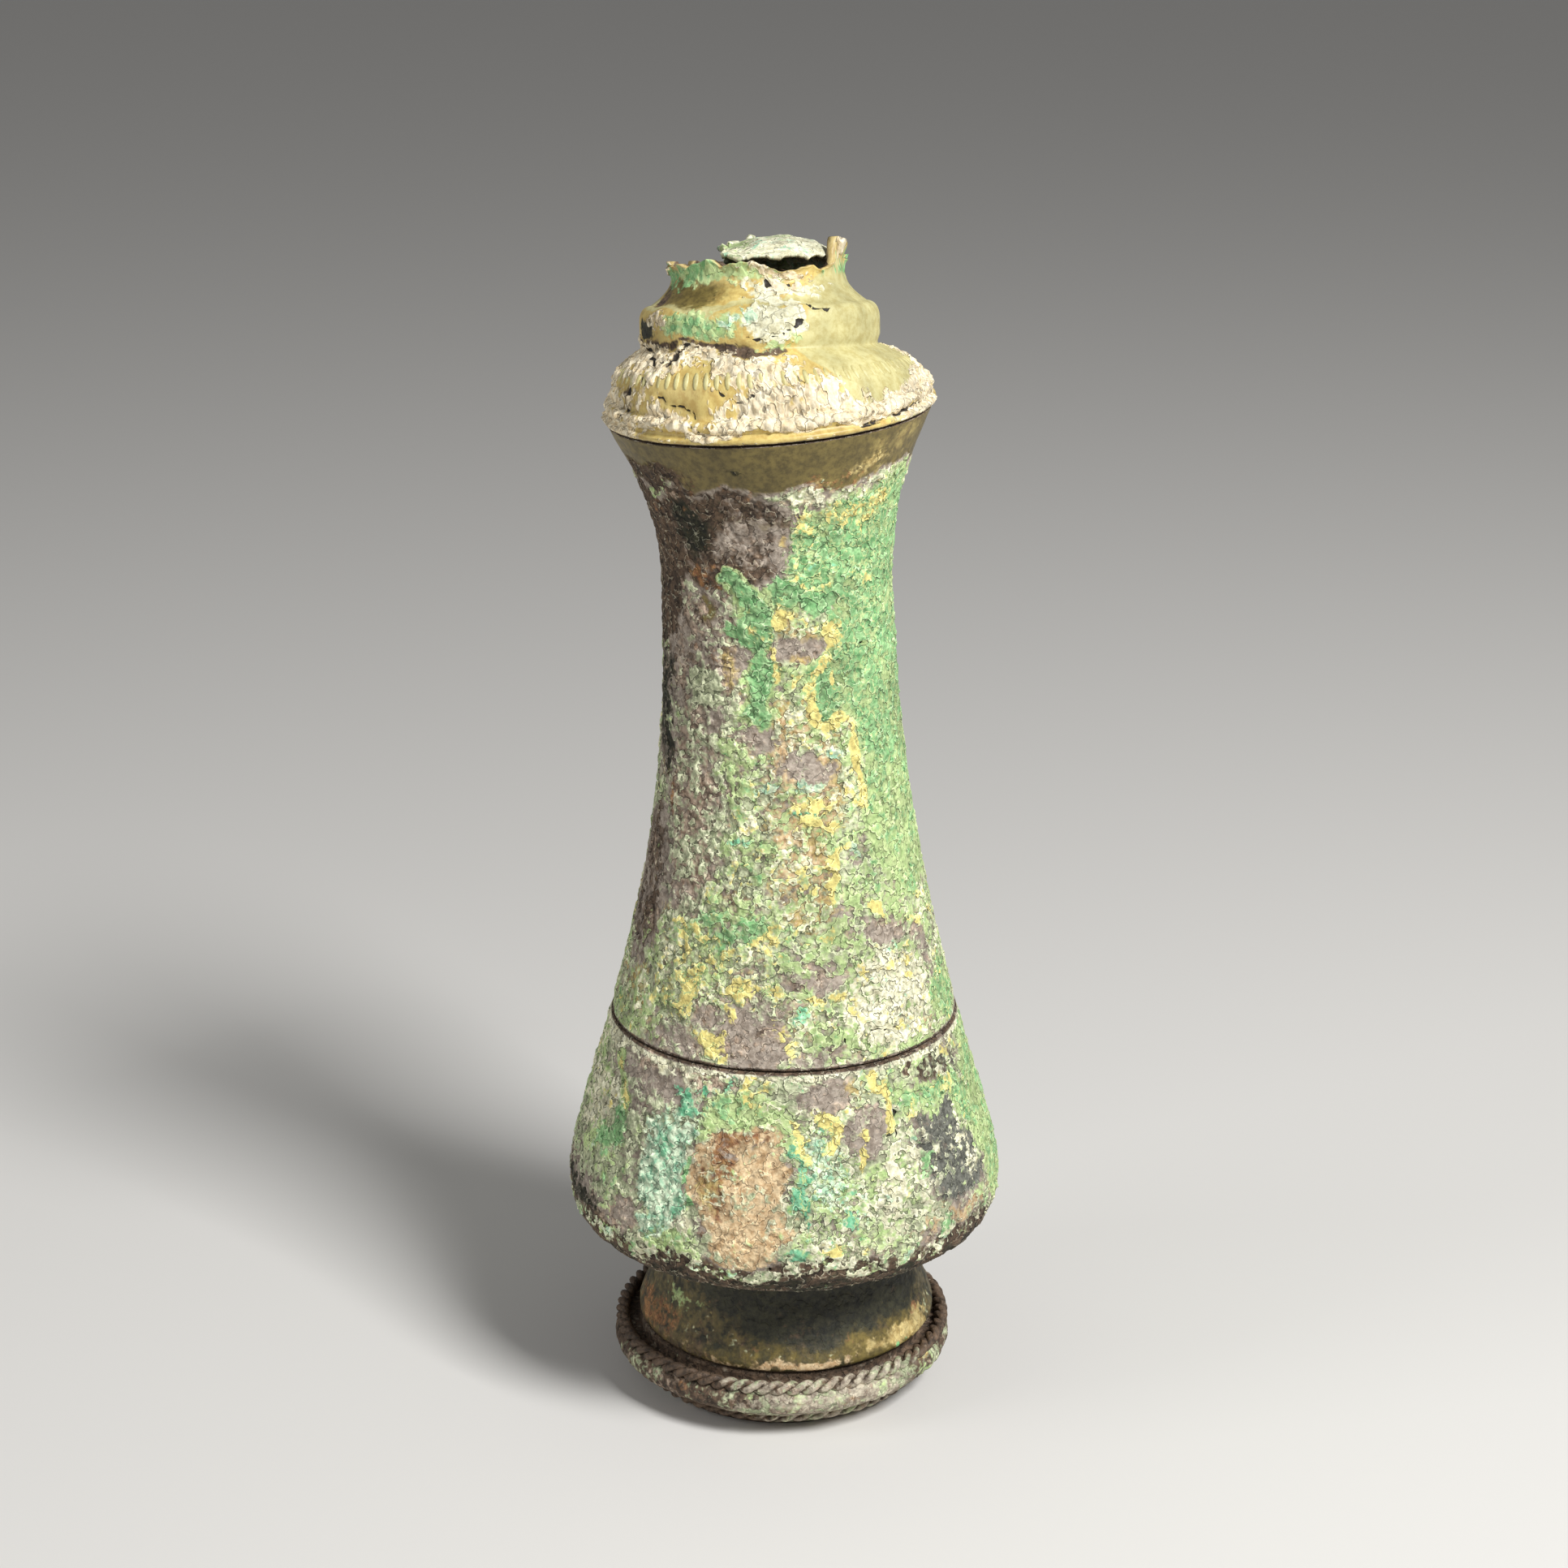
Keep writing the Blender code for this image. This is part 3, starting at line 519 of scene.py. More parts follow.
MIXES = {
    "plate": {"rose": -0.4, "umber": -0.9, "sage": -0.7, "cream": -1.0},
    "brown": {"umber": 0.45, "rose": -0.6, "moss": -0.5, "orange": -0.7, "sage": -1.0},
    "black": {"umber": 1.6, "rose": -1.0, "moss": -0.6},
    "dark_green": {"moss": 0.6, "umber": 0.0, "rose": -0.8, "green": -0.8, "sage": -0.8},
    "mauve_mix": {
        "umber": -0.1, "rose": -0.1, "sage": -0.3, "moss": -0.8, "orange": -0.5, "cream": -0.9, "leaf": -0.9,
    },
    "pinkish": {"rose": 0.3, "sage": 0.0, "cream": -0.5, "umber": -0.6, "leaf": -0.8, "orange": -0.7},
    "speckled": {
        "rose": -0.2, "sage": 0.25, "green": -0.5, "leaf": 0.0, "cream": -0.4, "umber": -0.5, "yellow": -0.6,
        "ochre": -0.2, "teal": -1.0,
    },
    "ochre_mix": {
        "rose": -0.4, "sage": 0.0, "tan": 0.1, "ochre": 0.2, "leaf": -0.1, "cream": -0.2, "green": -0.6,
        "yellow": -0.4, "orange": -0.8, "umber": -0.9,
    },
    "yellow_mix": {
        "vein": -0.75, "rose": -0.1, "sage": 0.3, "ochre": -0.2, "yellow": -0.3, "leaf": -0.2, "green": -0.7,
        "umber": -0.7, "cream": -0.4,
    },
    "fine_right": {
        "rose": 0.0, "sage": 0.3, "leaf": 0.1, "tan": -0.5, "green": -0.5, "umber": -0.6, "yellow": -0.7,
        "cream": -0.7,
    },
    "malachite": {
        "vein": -0.5, "green": 0.3, "leaf": 1.0, "sage": -0.6, "yellow": -0.9, "teal": -0.9, "cream": -0.8,
    },
    "malachite_edge": {
        "vein": -0.4, "green": 0.3, "leaf": 0.7, "yellow": -0.35, "cream": -0.4, "teal": -0.7, "sage": 0.0,
    },
    "leaf_field": {"leaf": 1.3, "green": -0.2, "sage": -0.2, "yellow": -0.95, "cream": -0.8},
    "cream_field": {"cream": 0.4, "leaf": 0.6, "sage": 0.6, "yellow": -0.4, "mint": -0.5, "rose": 0.0},
    "sage_field": {
        "sage": 0.5, "mint": -0.6, "green": -0.5, "cream": -0.45, "umber": -0.4, "rose": -0.1, "leaf": -0.1,
        "teal": -1.0, "yellow": -1.0,
    },
    "knobs": {"sage": 0.5, "mint": 0.3, "teal": -0.7, "cream": -0.3, "green": -0.3, "leaf": 0.0, "umber": -0.5},
    "arch": {
        "leaf": 0.6, "green": -0.3, "yellow": -0.5, "sage": 0.4, "tan": -0.5, "cream": -0.6, "umber": -0.8,
    },
    "tan_field": {
        "tan": 0.9, "orange": 0.0, "cream": -0.5, "sage": -0.4, "umber": -0.9, "leaf": -0.7, "ochre": -0.4,
    },
    "mixed": {
        "vein": -0.65, "sage": 0.3, "rose": -0.2, "green": -0.4, "leaf": 0.0, "yellow": -0.6, "ochre": -0.4,
        "cream": -0.1, "mint": -0.4, "charcoal": -0.7, "teal": -0.9,
    },
    "pale_leaf": {
        "leaf": 0.2, "sage": 0.8, "cream": 0.2, "green": -0.6, "ochre": -0.4, "yellow": -0.6, "umber": -1.0,
    },
    "grey_field": {
        "charcoal": 0.7, "sage": -0.45, "cream": -0.5, "leaf": -0.55, "tan": -1.0, "mint": -0.9, "umber": 0.0,
    },
    "tan_low": {
        "tan": 0.1, "rose": 0.1, "sage": 0.0, "green": -0.6, "leaf": -0.3, "cream": -0.5, "orange": -0.6,
    },
    # Painted shade under the bowl's belly
    "underside": {"umber": 1.2, "moss": 0.0, "sage": -0.9, "cream": -1.0},
    "crumbs": {
        "umber": 0.6, "sage": -0.1, "leaf": -0.3, "cream": -0.2, "green": -0.5, "mint": -0.5, "pit": -0.4,
    },
    "band": {"olive": 1.5},
    "bare": {"umber": -0.6, "olive": -0.7},
    "unseen": {"umber": 0.5, "rose": -0.7, "sage": -0.9, "pit": -0.6},
}


def patch_depth(patch, bearing, height, radius):
    """Millimetres inside a patch's edge; below 0 outside it."""
    across = radius * np.radians((bearing - patch.bearing + 180.0) % 360.0 - 180.0)
    up = height - patch.height
    turn = math.radians(patch.turn)
    u = (across * math.cos(turn) + up * math.sin(turn)) / patch.wide
    v = (up * math.cos(turn) - across * math.sin(turn)) / patch.tall
    return (1.0 - np.hypot(u, v)) * min(patch.wide, patch.tall)


def stroke_depth(stroke, bearing, height, radius):
    """Millimetres inside a stroke drawn along a line of (bearing, height)."""
    nearest = np.full(len(bearing), 1e3)
    for (start_b, start_h), (end_b, end_h) in zip(stroke.line, stroke.line[1:]):
        across = radius * np.radians((bearing - start_b + 180.0) % 360.0 - 180.0)
        run, rise = radius * math.radians(end_b - start_b), end_h - start_h
        t = np.clip((across * run + (height - start_h) * rise) / (run ** 2 + rise ** 2 + 1e-6), 0.0, 1.0)
        nearest = np.minimum(nearest, np.hypot(across - t * run, height - start_h - t * rise))
    return stroke.half_width - nearest


def paint(obj, coats, patches, mix):
    """Lays patches and strokes over each other in order, with edges that wander like corrosion."""
    points = read_points(obj)
    noise.seed_set(bpy.context.scene.lime_form.seed)  # else noise_vector differs at every run
    wandered = points + np.array([
        sum((far * noise.noise_vector(Vector(p) / over) for far, over in DRIFTS), Vector()) for p in points
    ])
    bearing, height = bearings_of(wandered), wandered[:, 2]
    radius = np.hypot(points[:, 0], points[:, 1])
    presence = {coat.name: np.full(len(points), mix.get(coat.name, ABSENT)) for coat in coats}
    for patch in patches:
        if isinstance(patch, Stroke):
            depth = stroke_depth(patch, bearing, height, radius)
        else:
            depth = patch_depth(patch, bearing, points[:, 2] if patch.wide == ALL_ROUND else height, radius)
        share = smoothstep(depth, -patch.feather, patch.feather)
        if patch.kind in MIXES:
            aims = {name: MIXES[patch.kind].get(name, ABSENT) for name in presence}
            share *= patch.level
        else:
            aims = {patch.kind: patch.level}
        for name, aim in aims.items():
            presence[name] += (aim - presence[name]) * share
    # The joints between the castings and the unseen insides have kept a dark patina under thin soil
    free, groove = read_values(obj, "free"), read_values(obj, "groove")
    for name, level in presence.items():
        if free is not None:
            level[free < SHUT] = MIXES["unseen"].get(name, ABSENT)
        # The groove between a rope's two threads is made darker
        if groove is not None and name == "umber":
            level += GROOVE_DARKENING * groove
        write_values(obj, "coat_" + name, level)


# Coats: what lies on the metal, from the lowest up

# Stand, grain and knob are how high it stands, its grains and its knobs, in millimetres; fray is how much its
# edge breaks up and soft how gradual the edge is
Coat = namedtuple("Coat", "name stand grain knob fray soft")

COATS = {coat.name: coat for coat in (
    # Stains in the patina: thin, with soft edges
    Coat("olive", 0.0, 0.0, 0.0, 0.6, 0.45),
    Coat("umber", 0.0, 0.18, 0.0, 0.9, 0.35),
    Coat("moss", 0.0, 0.16, 0.0, 0.9, 0.35),
    Coat("charcoal", 0.0, 0.14, 0.0, 1.0, 0.35),
    Coat("orange", 0.02, 0.18, 0.0, 1.2, 0.35),
    Coat("ochre", 0.03, 0.14, 0.0, 1.1, 0.35),
    Coat("gold", 0.0, 0.01, 0.0, 0.4, 0.5),
    Coat("straw", 0.0, 0.01, 0.0, 0.3, 0.3),
    # Crusts: they stand on the patina and break off at their edges
    Coat("rose", 0.04, 0.26, 0.0, 1.1, 0.25),
    Coat("tan", 0.04, 0.14, 0.0, 1.1, 0.25),
    Coat("sage", 0.06, 0.26, 0.0, 1.2, 0.25),
    Coat("leaf", 0.08, 0.18, 0.0, 1.2, 0.25),
    Coat("cream", 0.12, 0.24, 0.09, 1.2, 0.2),
    Coat("crust", 0.40, 0.34, 0.30, 1.1, 0.15),
    Coat("green", 0.10, 0.2, 0.06, 1.2, 0.2),
    Coat("mint", 0.14, 0.20, 0.18, 1.2, 0.2),
    Coat("teal", 0.14, 0.20, 0.12, 1.3, 0.2),
    Coat("yellow", 0.10, 0.18, 0.03, 1.3, 0.2),
    Coat("vein", 0.12, 0.12, 0.0, 0.0, 0.2),
    # Holes and cracks
    Coat("pit", -0.5, 0.1, 0.0, 0.5, 0.12),
)}
COAT_COLOURS = {"crust": "pearl", "vein": "leaf"}  # where a coat's colour has another name


def coats_of(names, relief=1.0):
    """The named coats, with their relief scaled."""
    return [
        coat._replace(stand=coat.stand * relief, grain=coat.grain * relief, knob=coat.knob * relief)
        for coat in (COATS[name] for name in names.split())
    ]


# Noises: size of their features in mm, octaves and roughness
NOISES = {
    "wander": (5.0, 2.0, 0.5),  # broad unevenness of the casting and of its patches
    "fray": (2.0, 3.0, 0.65),  # edges of the corrosion patches
    "speck": (0.7, 1.0, 0.5),  # single grains of mineral
    "tone": (1.0, 4.0, 0.7),  # light and dark within one mineral
    "grain": (1.25, 3.0, 0.55),  # lumps of the crust
    "flake": (1.5, 2.2, 0.5),  # flakes of the crust
}
NOISE_GAIN = 3.0  # brings a noise from about 0.35 to 0.65 up to about -0.5 to 0.5
KNOB_SIZE = 1.1  # mm from knob to knob
WEAR_SIZE = 1.6  # mm from dent to dent of a worn thread
THREAD_SHARE, LAY_SHARE = 0.56, 0.48  # radius of a thread and of its turns, against the rope's radius


def attribute_socket(tree, name, kind="FLOAT"):
    """Reads a point attribute, in a material or in geometry nodes."""
    if tree.type == "GEOMETRY":
        node = add_node(tree, "GeometryNodeInputNamedAttribute", {"Name": name}, data_type=kind)
        return node.outputs["Attribute"]
    node = add_node(tree, "ShaderNodeAttribute", attribute_name=name)
    return node.outputs["Fac" if kind == "FLOAT" else "Vector"]


def crust_patterns(tree):
    """Patterns shared by relief and colour, each centred on 0 and about 1 high either way."""
    place = attribute_socket(tree, "rest_place", "FLOAT_VECTOR")
    patterns = {}
    for name, (size, detail, rough) in NOISES.items():
        texture = add_node(
            tree, "ShaderNodeTexNoise",
            {"Vector": place, "Scale": 1.0 / (size * MM), "Detail": detail, "Roughness": rough},
        )
        centred = add_node(
            tree, "ShaderNodeVectorMath",
            {0: texture.outputs["Color"], 1: (NOISE_GAIN,) * 3, 2: (-0.5 * NOISE_GAIN,) * 3},
            operation="MULTIPLY_ADD",
        )
        patterns[name] = add_node(tree, "ShaderNodeSeparateXYZ", {0: centred}).outputs
    # Knobs, high in the middle of each cell
    cells = add_node(
        tree, "ShaderNodeTexVoronoi", {"Vector": place, "Scale": 1.0 / (KNOB_SIZE * MM), "Smoothness": 0.35},
        feature="SMOOTH_F1",
    )
    patterns["knob"] = add_node(tree, "ShaderNodeMapRange", {"Value": cells, 1: 0.15, 2: 0.65, 3: 1.0, 4: -1.0})
    # Flakes 1 to 3 mm wide stand above their surroundings, with a pale rim of dust and painted highlight, and
    # with soil and painted shade along its foot
    step = add_node(
        tree, "ShaderNodeMapRange", {"Value": patterns["flake"][0], 1: -0.14, 2: 0.14, 3: -1.0, 4: 1.0},
    )
    patterns["step"] = [add_node(
        tree, "ShaderNodeMapRange", {"Value": step, 1: -0.4, 2: 0.4, 3: -0.5, 4: 0.5},
        interpolation_type="SMOOTHSTEP",
    )]
    # Veins about 0.2 mm wide wind round areas 1 to 3 mm wide
    off_line = add_node(tree, "ShaderNodeMath", {0: patterns["flake"][1]}, operation="ABSOLUTE")
    patterns["line"] = [add_node(
        tree, "ShaderNodeMath", {0: off_line, 1: -7.0, 2: 1.0}, operation="MULTIPLY_ADD",
    )]
    away = add_node(tree, "ShaderNodeMath", {0: step}, operation="ABSOLUTE")
    near = add_node(tree, "ShaderNodeMath", {0: 1.0, 1: away}, operation="SUBTRACT")
    rim = add_node(tree, "ShaderNodeMath", {0: step, 1: near}, operation="MULTIPLY")
    rims = add_node(tree, "ShaderNodeMath", {0: rim, 1: 4.0}, operation="MULTIPLY")
    # Relief, and the soil and painted shade in its hollows with painted highlight on its tops: what they start
    # from, and the shares of grain and specks
    for made, total, grain, speck in (("relief", patterns["step"][0], 0.9, 0.4), ("soil", rims, 0.7, 0.6)):
        for name, share in (("grain", grain), ("speck", speck)):
            total = add_node(
                tree, "ShaderNodeMath", {0: patterns[name][0], 1: share, 2: total}, operation="MULTIPLY_ADD",
            )
        patterns[made] = total
    return patterns


def coat_mask(tree, patterns, coat, index):
    """1 where the coat lies: its presence, with an edge that wanders, frays and breaks up into grains."""
    level = attribute_socket(tree, "coat_" + coat.name)
    shares = (("line", 0, 1.0), ("wander", 0, 0.3)) if coat.name == "vein" else (
        ("wander", index % 3, 0.4 * coat.fray + 0.1),
        ("fray", (index + index // 3) % 3, 0.5 * coat.fray),
        ("speck", (index + 1) % 3, 0.38 * coat.fray),
        # Crusts keep to the flakes, stains show between them
        ("step", 0, 0.3 if coat.stand > 0.05 else -0.2),
    )
    for name, channel, share in shares:
        level = add_node(
            tree, "ShaderNodeMath", {0: patterns[name][channel], 1: share, 2: level}, operation="MULTIPLY_ADD",
        )
    return add_node(
        tree, "ShaderNodeMapRange", {"Value": level, 1: -coat.soft, 2: coat.soft},
        interpolation_type="SMOOTHSTEP",
    )


def crust_height(tree, patterns, coats, masks, bare_grain):
    """Height of the coats over the metal in millimetres, and how rough the uppermost one is."""
    traits = (0.0, bare_grain, 0.0)
    for mask, coat in zip(masks, coats):
        traits = add_node(
            tree, "ShaderNodeMix", {0: mask, 4: traits, 5: (coat.stand, coat.grain, coat.knob)},
            data_type="VECTOR",
        ).outputs[1]
    if not coats:
        traits = add_node(tree, "ShaderNodeCombineXYZ", {1: bare_grain})
    stand, grain, knob = add_node(tree, "ShaderNodeSeparateXYZ", {0: traits}).outputs
    height = stand
    for pattern, share in (("relief", grain), ("knob", knob)):
        height = add_node(
            tree, "ShaderNodeMath", {0: patterns[pattern], 1: share, 2: height}, operation="MULTIPLY_ADD",
        )
    return height, grain


def new_tree(name, sizes):
    """A geometry tree with an input for each size, given by name."""
    tree = bpy.data.node_groups.new(name, "GeometryNodeTree")
    tree.interface.new_socket("Geometry", in_out="INPUT", socket_type="NodeSocketGeometry")
    values = {}
    for label, value in sizes.items():
        kind = "NodeSocketInt" if isinstance(value, int) else "NodeSocketFloat"
        values[tree.interface.new_socket(label, in_out="INPUT", socket_type=kind).identifier] = value
    tree.interface.new_socket("Geometry", in_out="OUTPUT", socket_type="NodeSocketGeometry")
    return tree, add_node(tree, "NodeGroupInput").outputs, values


def end_tree(tree, shape, material, obj, values):
    """Makes what the tree has built real, gives it its material and puts the tree on the object."""
    real = add_node(tree, "GeometryNodeRealizeInstances", {0: shape})
    clad = add_node(tree, "GeometryNodeSetMaterial", {"Geometry": real, "Material": material})
    add_node(tree, "NodeGroupOutput", {0: clad})
    modifier = obj.modifiers.new(tree.name, "NODES")
    modifier.node_group = tree
    for identifier, value in values.items():
        modifier[identifier] = value


def push_out(tree, shape, distance):
    """Moves each point along its normal."""
    normal = add_node(tree, "GeometryNodeInputNormal")
    offset = add_node(tree, "ShaderNodeVectorMath", {0: normal, "Scale": distance}, operation="SCALE")
    return add_node(tree, "GeometryNodeSetPosition", {"Geometry": shape, "Offset": offset})


def new_object(name, data):
    """An object in the scene."""
    obj = bpy.data.objects.new(name, data)
    bpy.context.scene.collection.objects.link(obj)
    return obj


def raise_crust(obj, coats, material, lumps, grain):
    """Geometry nodes that lift the surface by its coats, and by broad lumps of the given height."""
    tree, given, values = new_tree(
        obj.name + "_relief", {"Crust": bpy.context.scene.lime_form.crust * MM, "Lumps": lumps},
    )
    patterns = crust_patterns(tree)
    masks = [coat_mask(tree, patterns, coat, i) for i, coat in enumerate(coats)]
    height, _ = crust_height(tree, patterns, coats, masks, grain)
    uneven = add_node(
        tree, "ShaderNodeMath", {0: patterns["wander"][1], 1: given["Lumps"], 2: height},
        operation="MULTIPLY_ADD",
    )
    free = add_node(tree, "ShaderNodeMath", {0: uneven, 1: attribute_socket(tree, "free")}, operation="MULTIPLY")
    metres = add_node(tree, "ShaderNodeMath", {0: free, 1: given["Crust"]}, operation="MULTIPLY")
    end_tree(tree, push_out(tree, given["Geometry"], metres), material, obj, values)


def crust_material(name, coats, bare, grain):
    """Corroded bronze: bare patina below, then each coat with its own tone, roughness and height.

    Bare names the patina's colour and grain is its roughness in millimetres.
    """
    patina = bpy.context.scene.lime_patina
    material = bpy.data.materials.new(name)
    material.use_nodes = True
    tree = material.node_tree
    tree.nodes.clear()
    patterns = crust_patterns(tree)
    masks = [coat_mask(tree, patterns, coat, i) for i, coat in enumerate(coats)]
    tones = [
        add_node(tree, "ShaderNodeMapRange", {"Value": tone, 1: -0.5, 2: 0.4}, interpolation_type="SMOOTHSTEP")
        for tone in patterns["tone"]
    ]
    colour = None
    for index, colour_name in enumerate([bare] + [COAT_COLOURS.get(coat.name, coat.name) for coat in coats]):
        light = (*getattr(patina, colour_name), 1.0)
        dark = (*getattr(patina, colour_name if colour_name == "pit" else colour_name + "_shade"), 1.0)
        own = add_node(
            tree, "ShaderNodeMix", {"Factor": tones[index % 3], 6: dark, 7: light}, data_type="RGBA",
        ).outputs[2]
        colour = own if colour is None else add_node(
            tree, "ShaderNodeMix", {"Factor": masks[index - 1], 6: colour, 7: own}, data_type="RGBA",
        ).outputs[2]
    height, top_grain = crust_height(tree, patterns, coats, masks, grain)
    # Soil and painted shade darken the hollows between grains and painted highlight lightens their tops; pale
    # lime dust mixed with painted highlight lies on the highest
    depth = add_node(tree, "ShaderNodeMath", {0: patterns["soil"], 1: top_grain}, operation="MULTIPLY")
    soil_shade_and_highlight = add_node(tree, "ShaderNodeMapRange", {"Value": depth, 1: -0.2, 2: 0.16, 3: 0.42, 4: 1.3})
    stain = add_node(
        tree, "ShaderNodeMapRange", {"Value": patterns["wander"][2], 1: -0.6, 2: 0.6, 3: 0.78, 4: 1.18},
    )
    shade = add_node(tree, "ShaderNodeMath", {0: soil_shade_and_highlight, 1: stain}, operation="MULTIPLY")
    shaded = add_node(tree, "ShaderNodeVectorMath", {0: colour, "Scale": shade}, operation="SCALE")
    dust = add_node(tree, "ShaderNodeMapRange", {"Value": depth, 1: 0.1, 2: 0.3, 3: 0.0, 4: 0.5})
    dusted_and_highlit = add_node(
        tree, "ShaderNodeMix", {"Factor": dust, 6: shaded, 7: (*patina.dust, 1.0)}, data_type="RGBA",
    ).outputs[2]
    # Smooth patina has a soft shine; crust is dull
    rough = add_node(tree, "ShaderNodeMapRange", {"Value": top_grain, 1: 0.0, 2: 0.14, 3: 0.45, 4: 0.9})
    metres = add_node(tree, "ShaderNodeMath", {0: height, 1: MM}, operation="MULTIPLY")
    bump = add_node(tree, "ShaderNodeBump", {"Strength": 1.0, "Distance": 1.0, "Height": metres})
    shader = add_node(
        tree, "ShaderNodeBsdfPrincipled",
        {"Base Color": dusted_and_highlit, "Roughness": rough, "Normal": bump, "Metallic": 0.0},
    )
    add_node(tree, "ShaderNodeOutputMaterial", {"Surface": shader})
    return material


# Where the coats lie: bearings in degrees, heights and half sizes in millimetres above each casting's foot.
# Patch rows: level, bearing, height, half width, half height, turn, feather. Stroke rows: level, half width,
# line of (bearing, height), feather. Turn and feather may be left out.

BACK = (95.0, 265.0)  # bearings that the photograph doesn't show
# Kind, half width and half height of the patches there
BACK_FIELDS = (
    ("malachite", 6.0, 8.0), ("leaf_field", 6.0, 6.0), ("pinkish", 5.0, 6.0), ("speckled", 6.0, 5.0),
    ("ochre_mix", 4.0, 6.0), ("sage_field", 6.0, 5.0), ("brown", 5.0, 5.0), ("plate", 3.0, 1.8),
    ("yellow_mix", 4.0, 4.0), ("mixed", 5.0, 5.0), ("knobs", 3.0, 5.0), ("cream_field", 4.0, 4.0),
    ("yellow", 1.0, 1.4), ("ochre", 1.4, 3.0), ("cream", 2.0, 1.2), ("plate", 2.4, 1.4), ("tan_field", 3.0, 3.0),
)

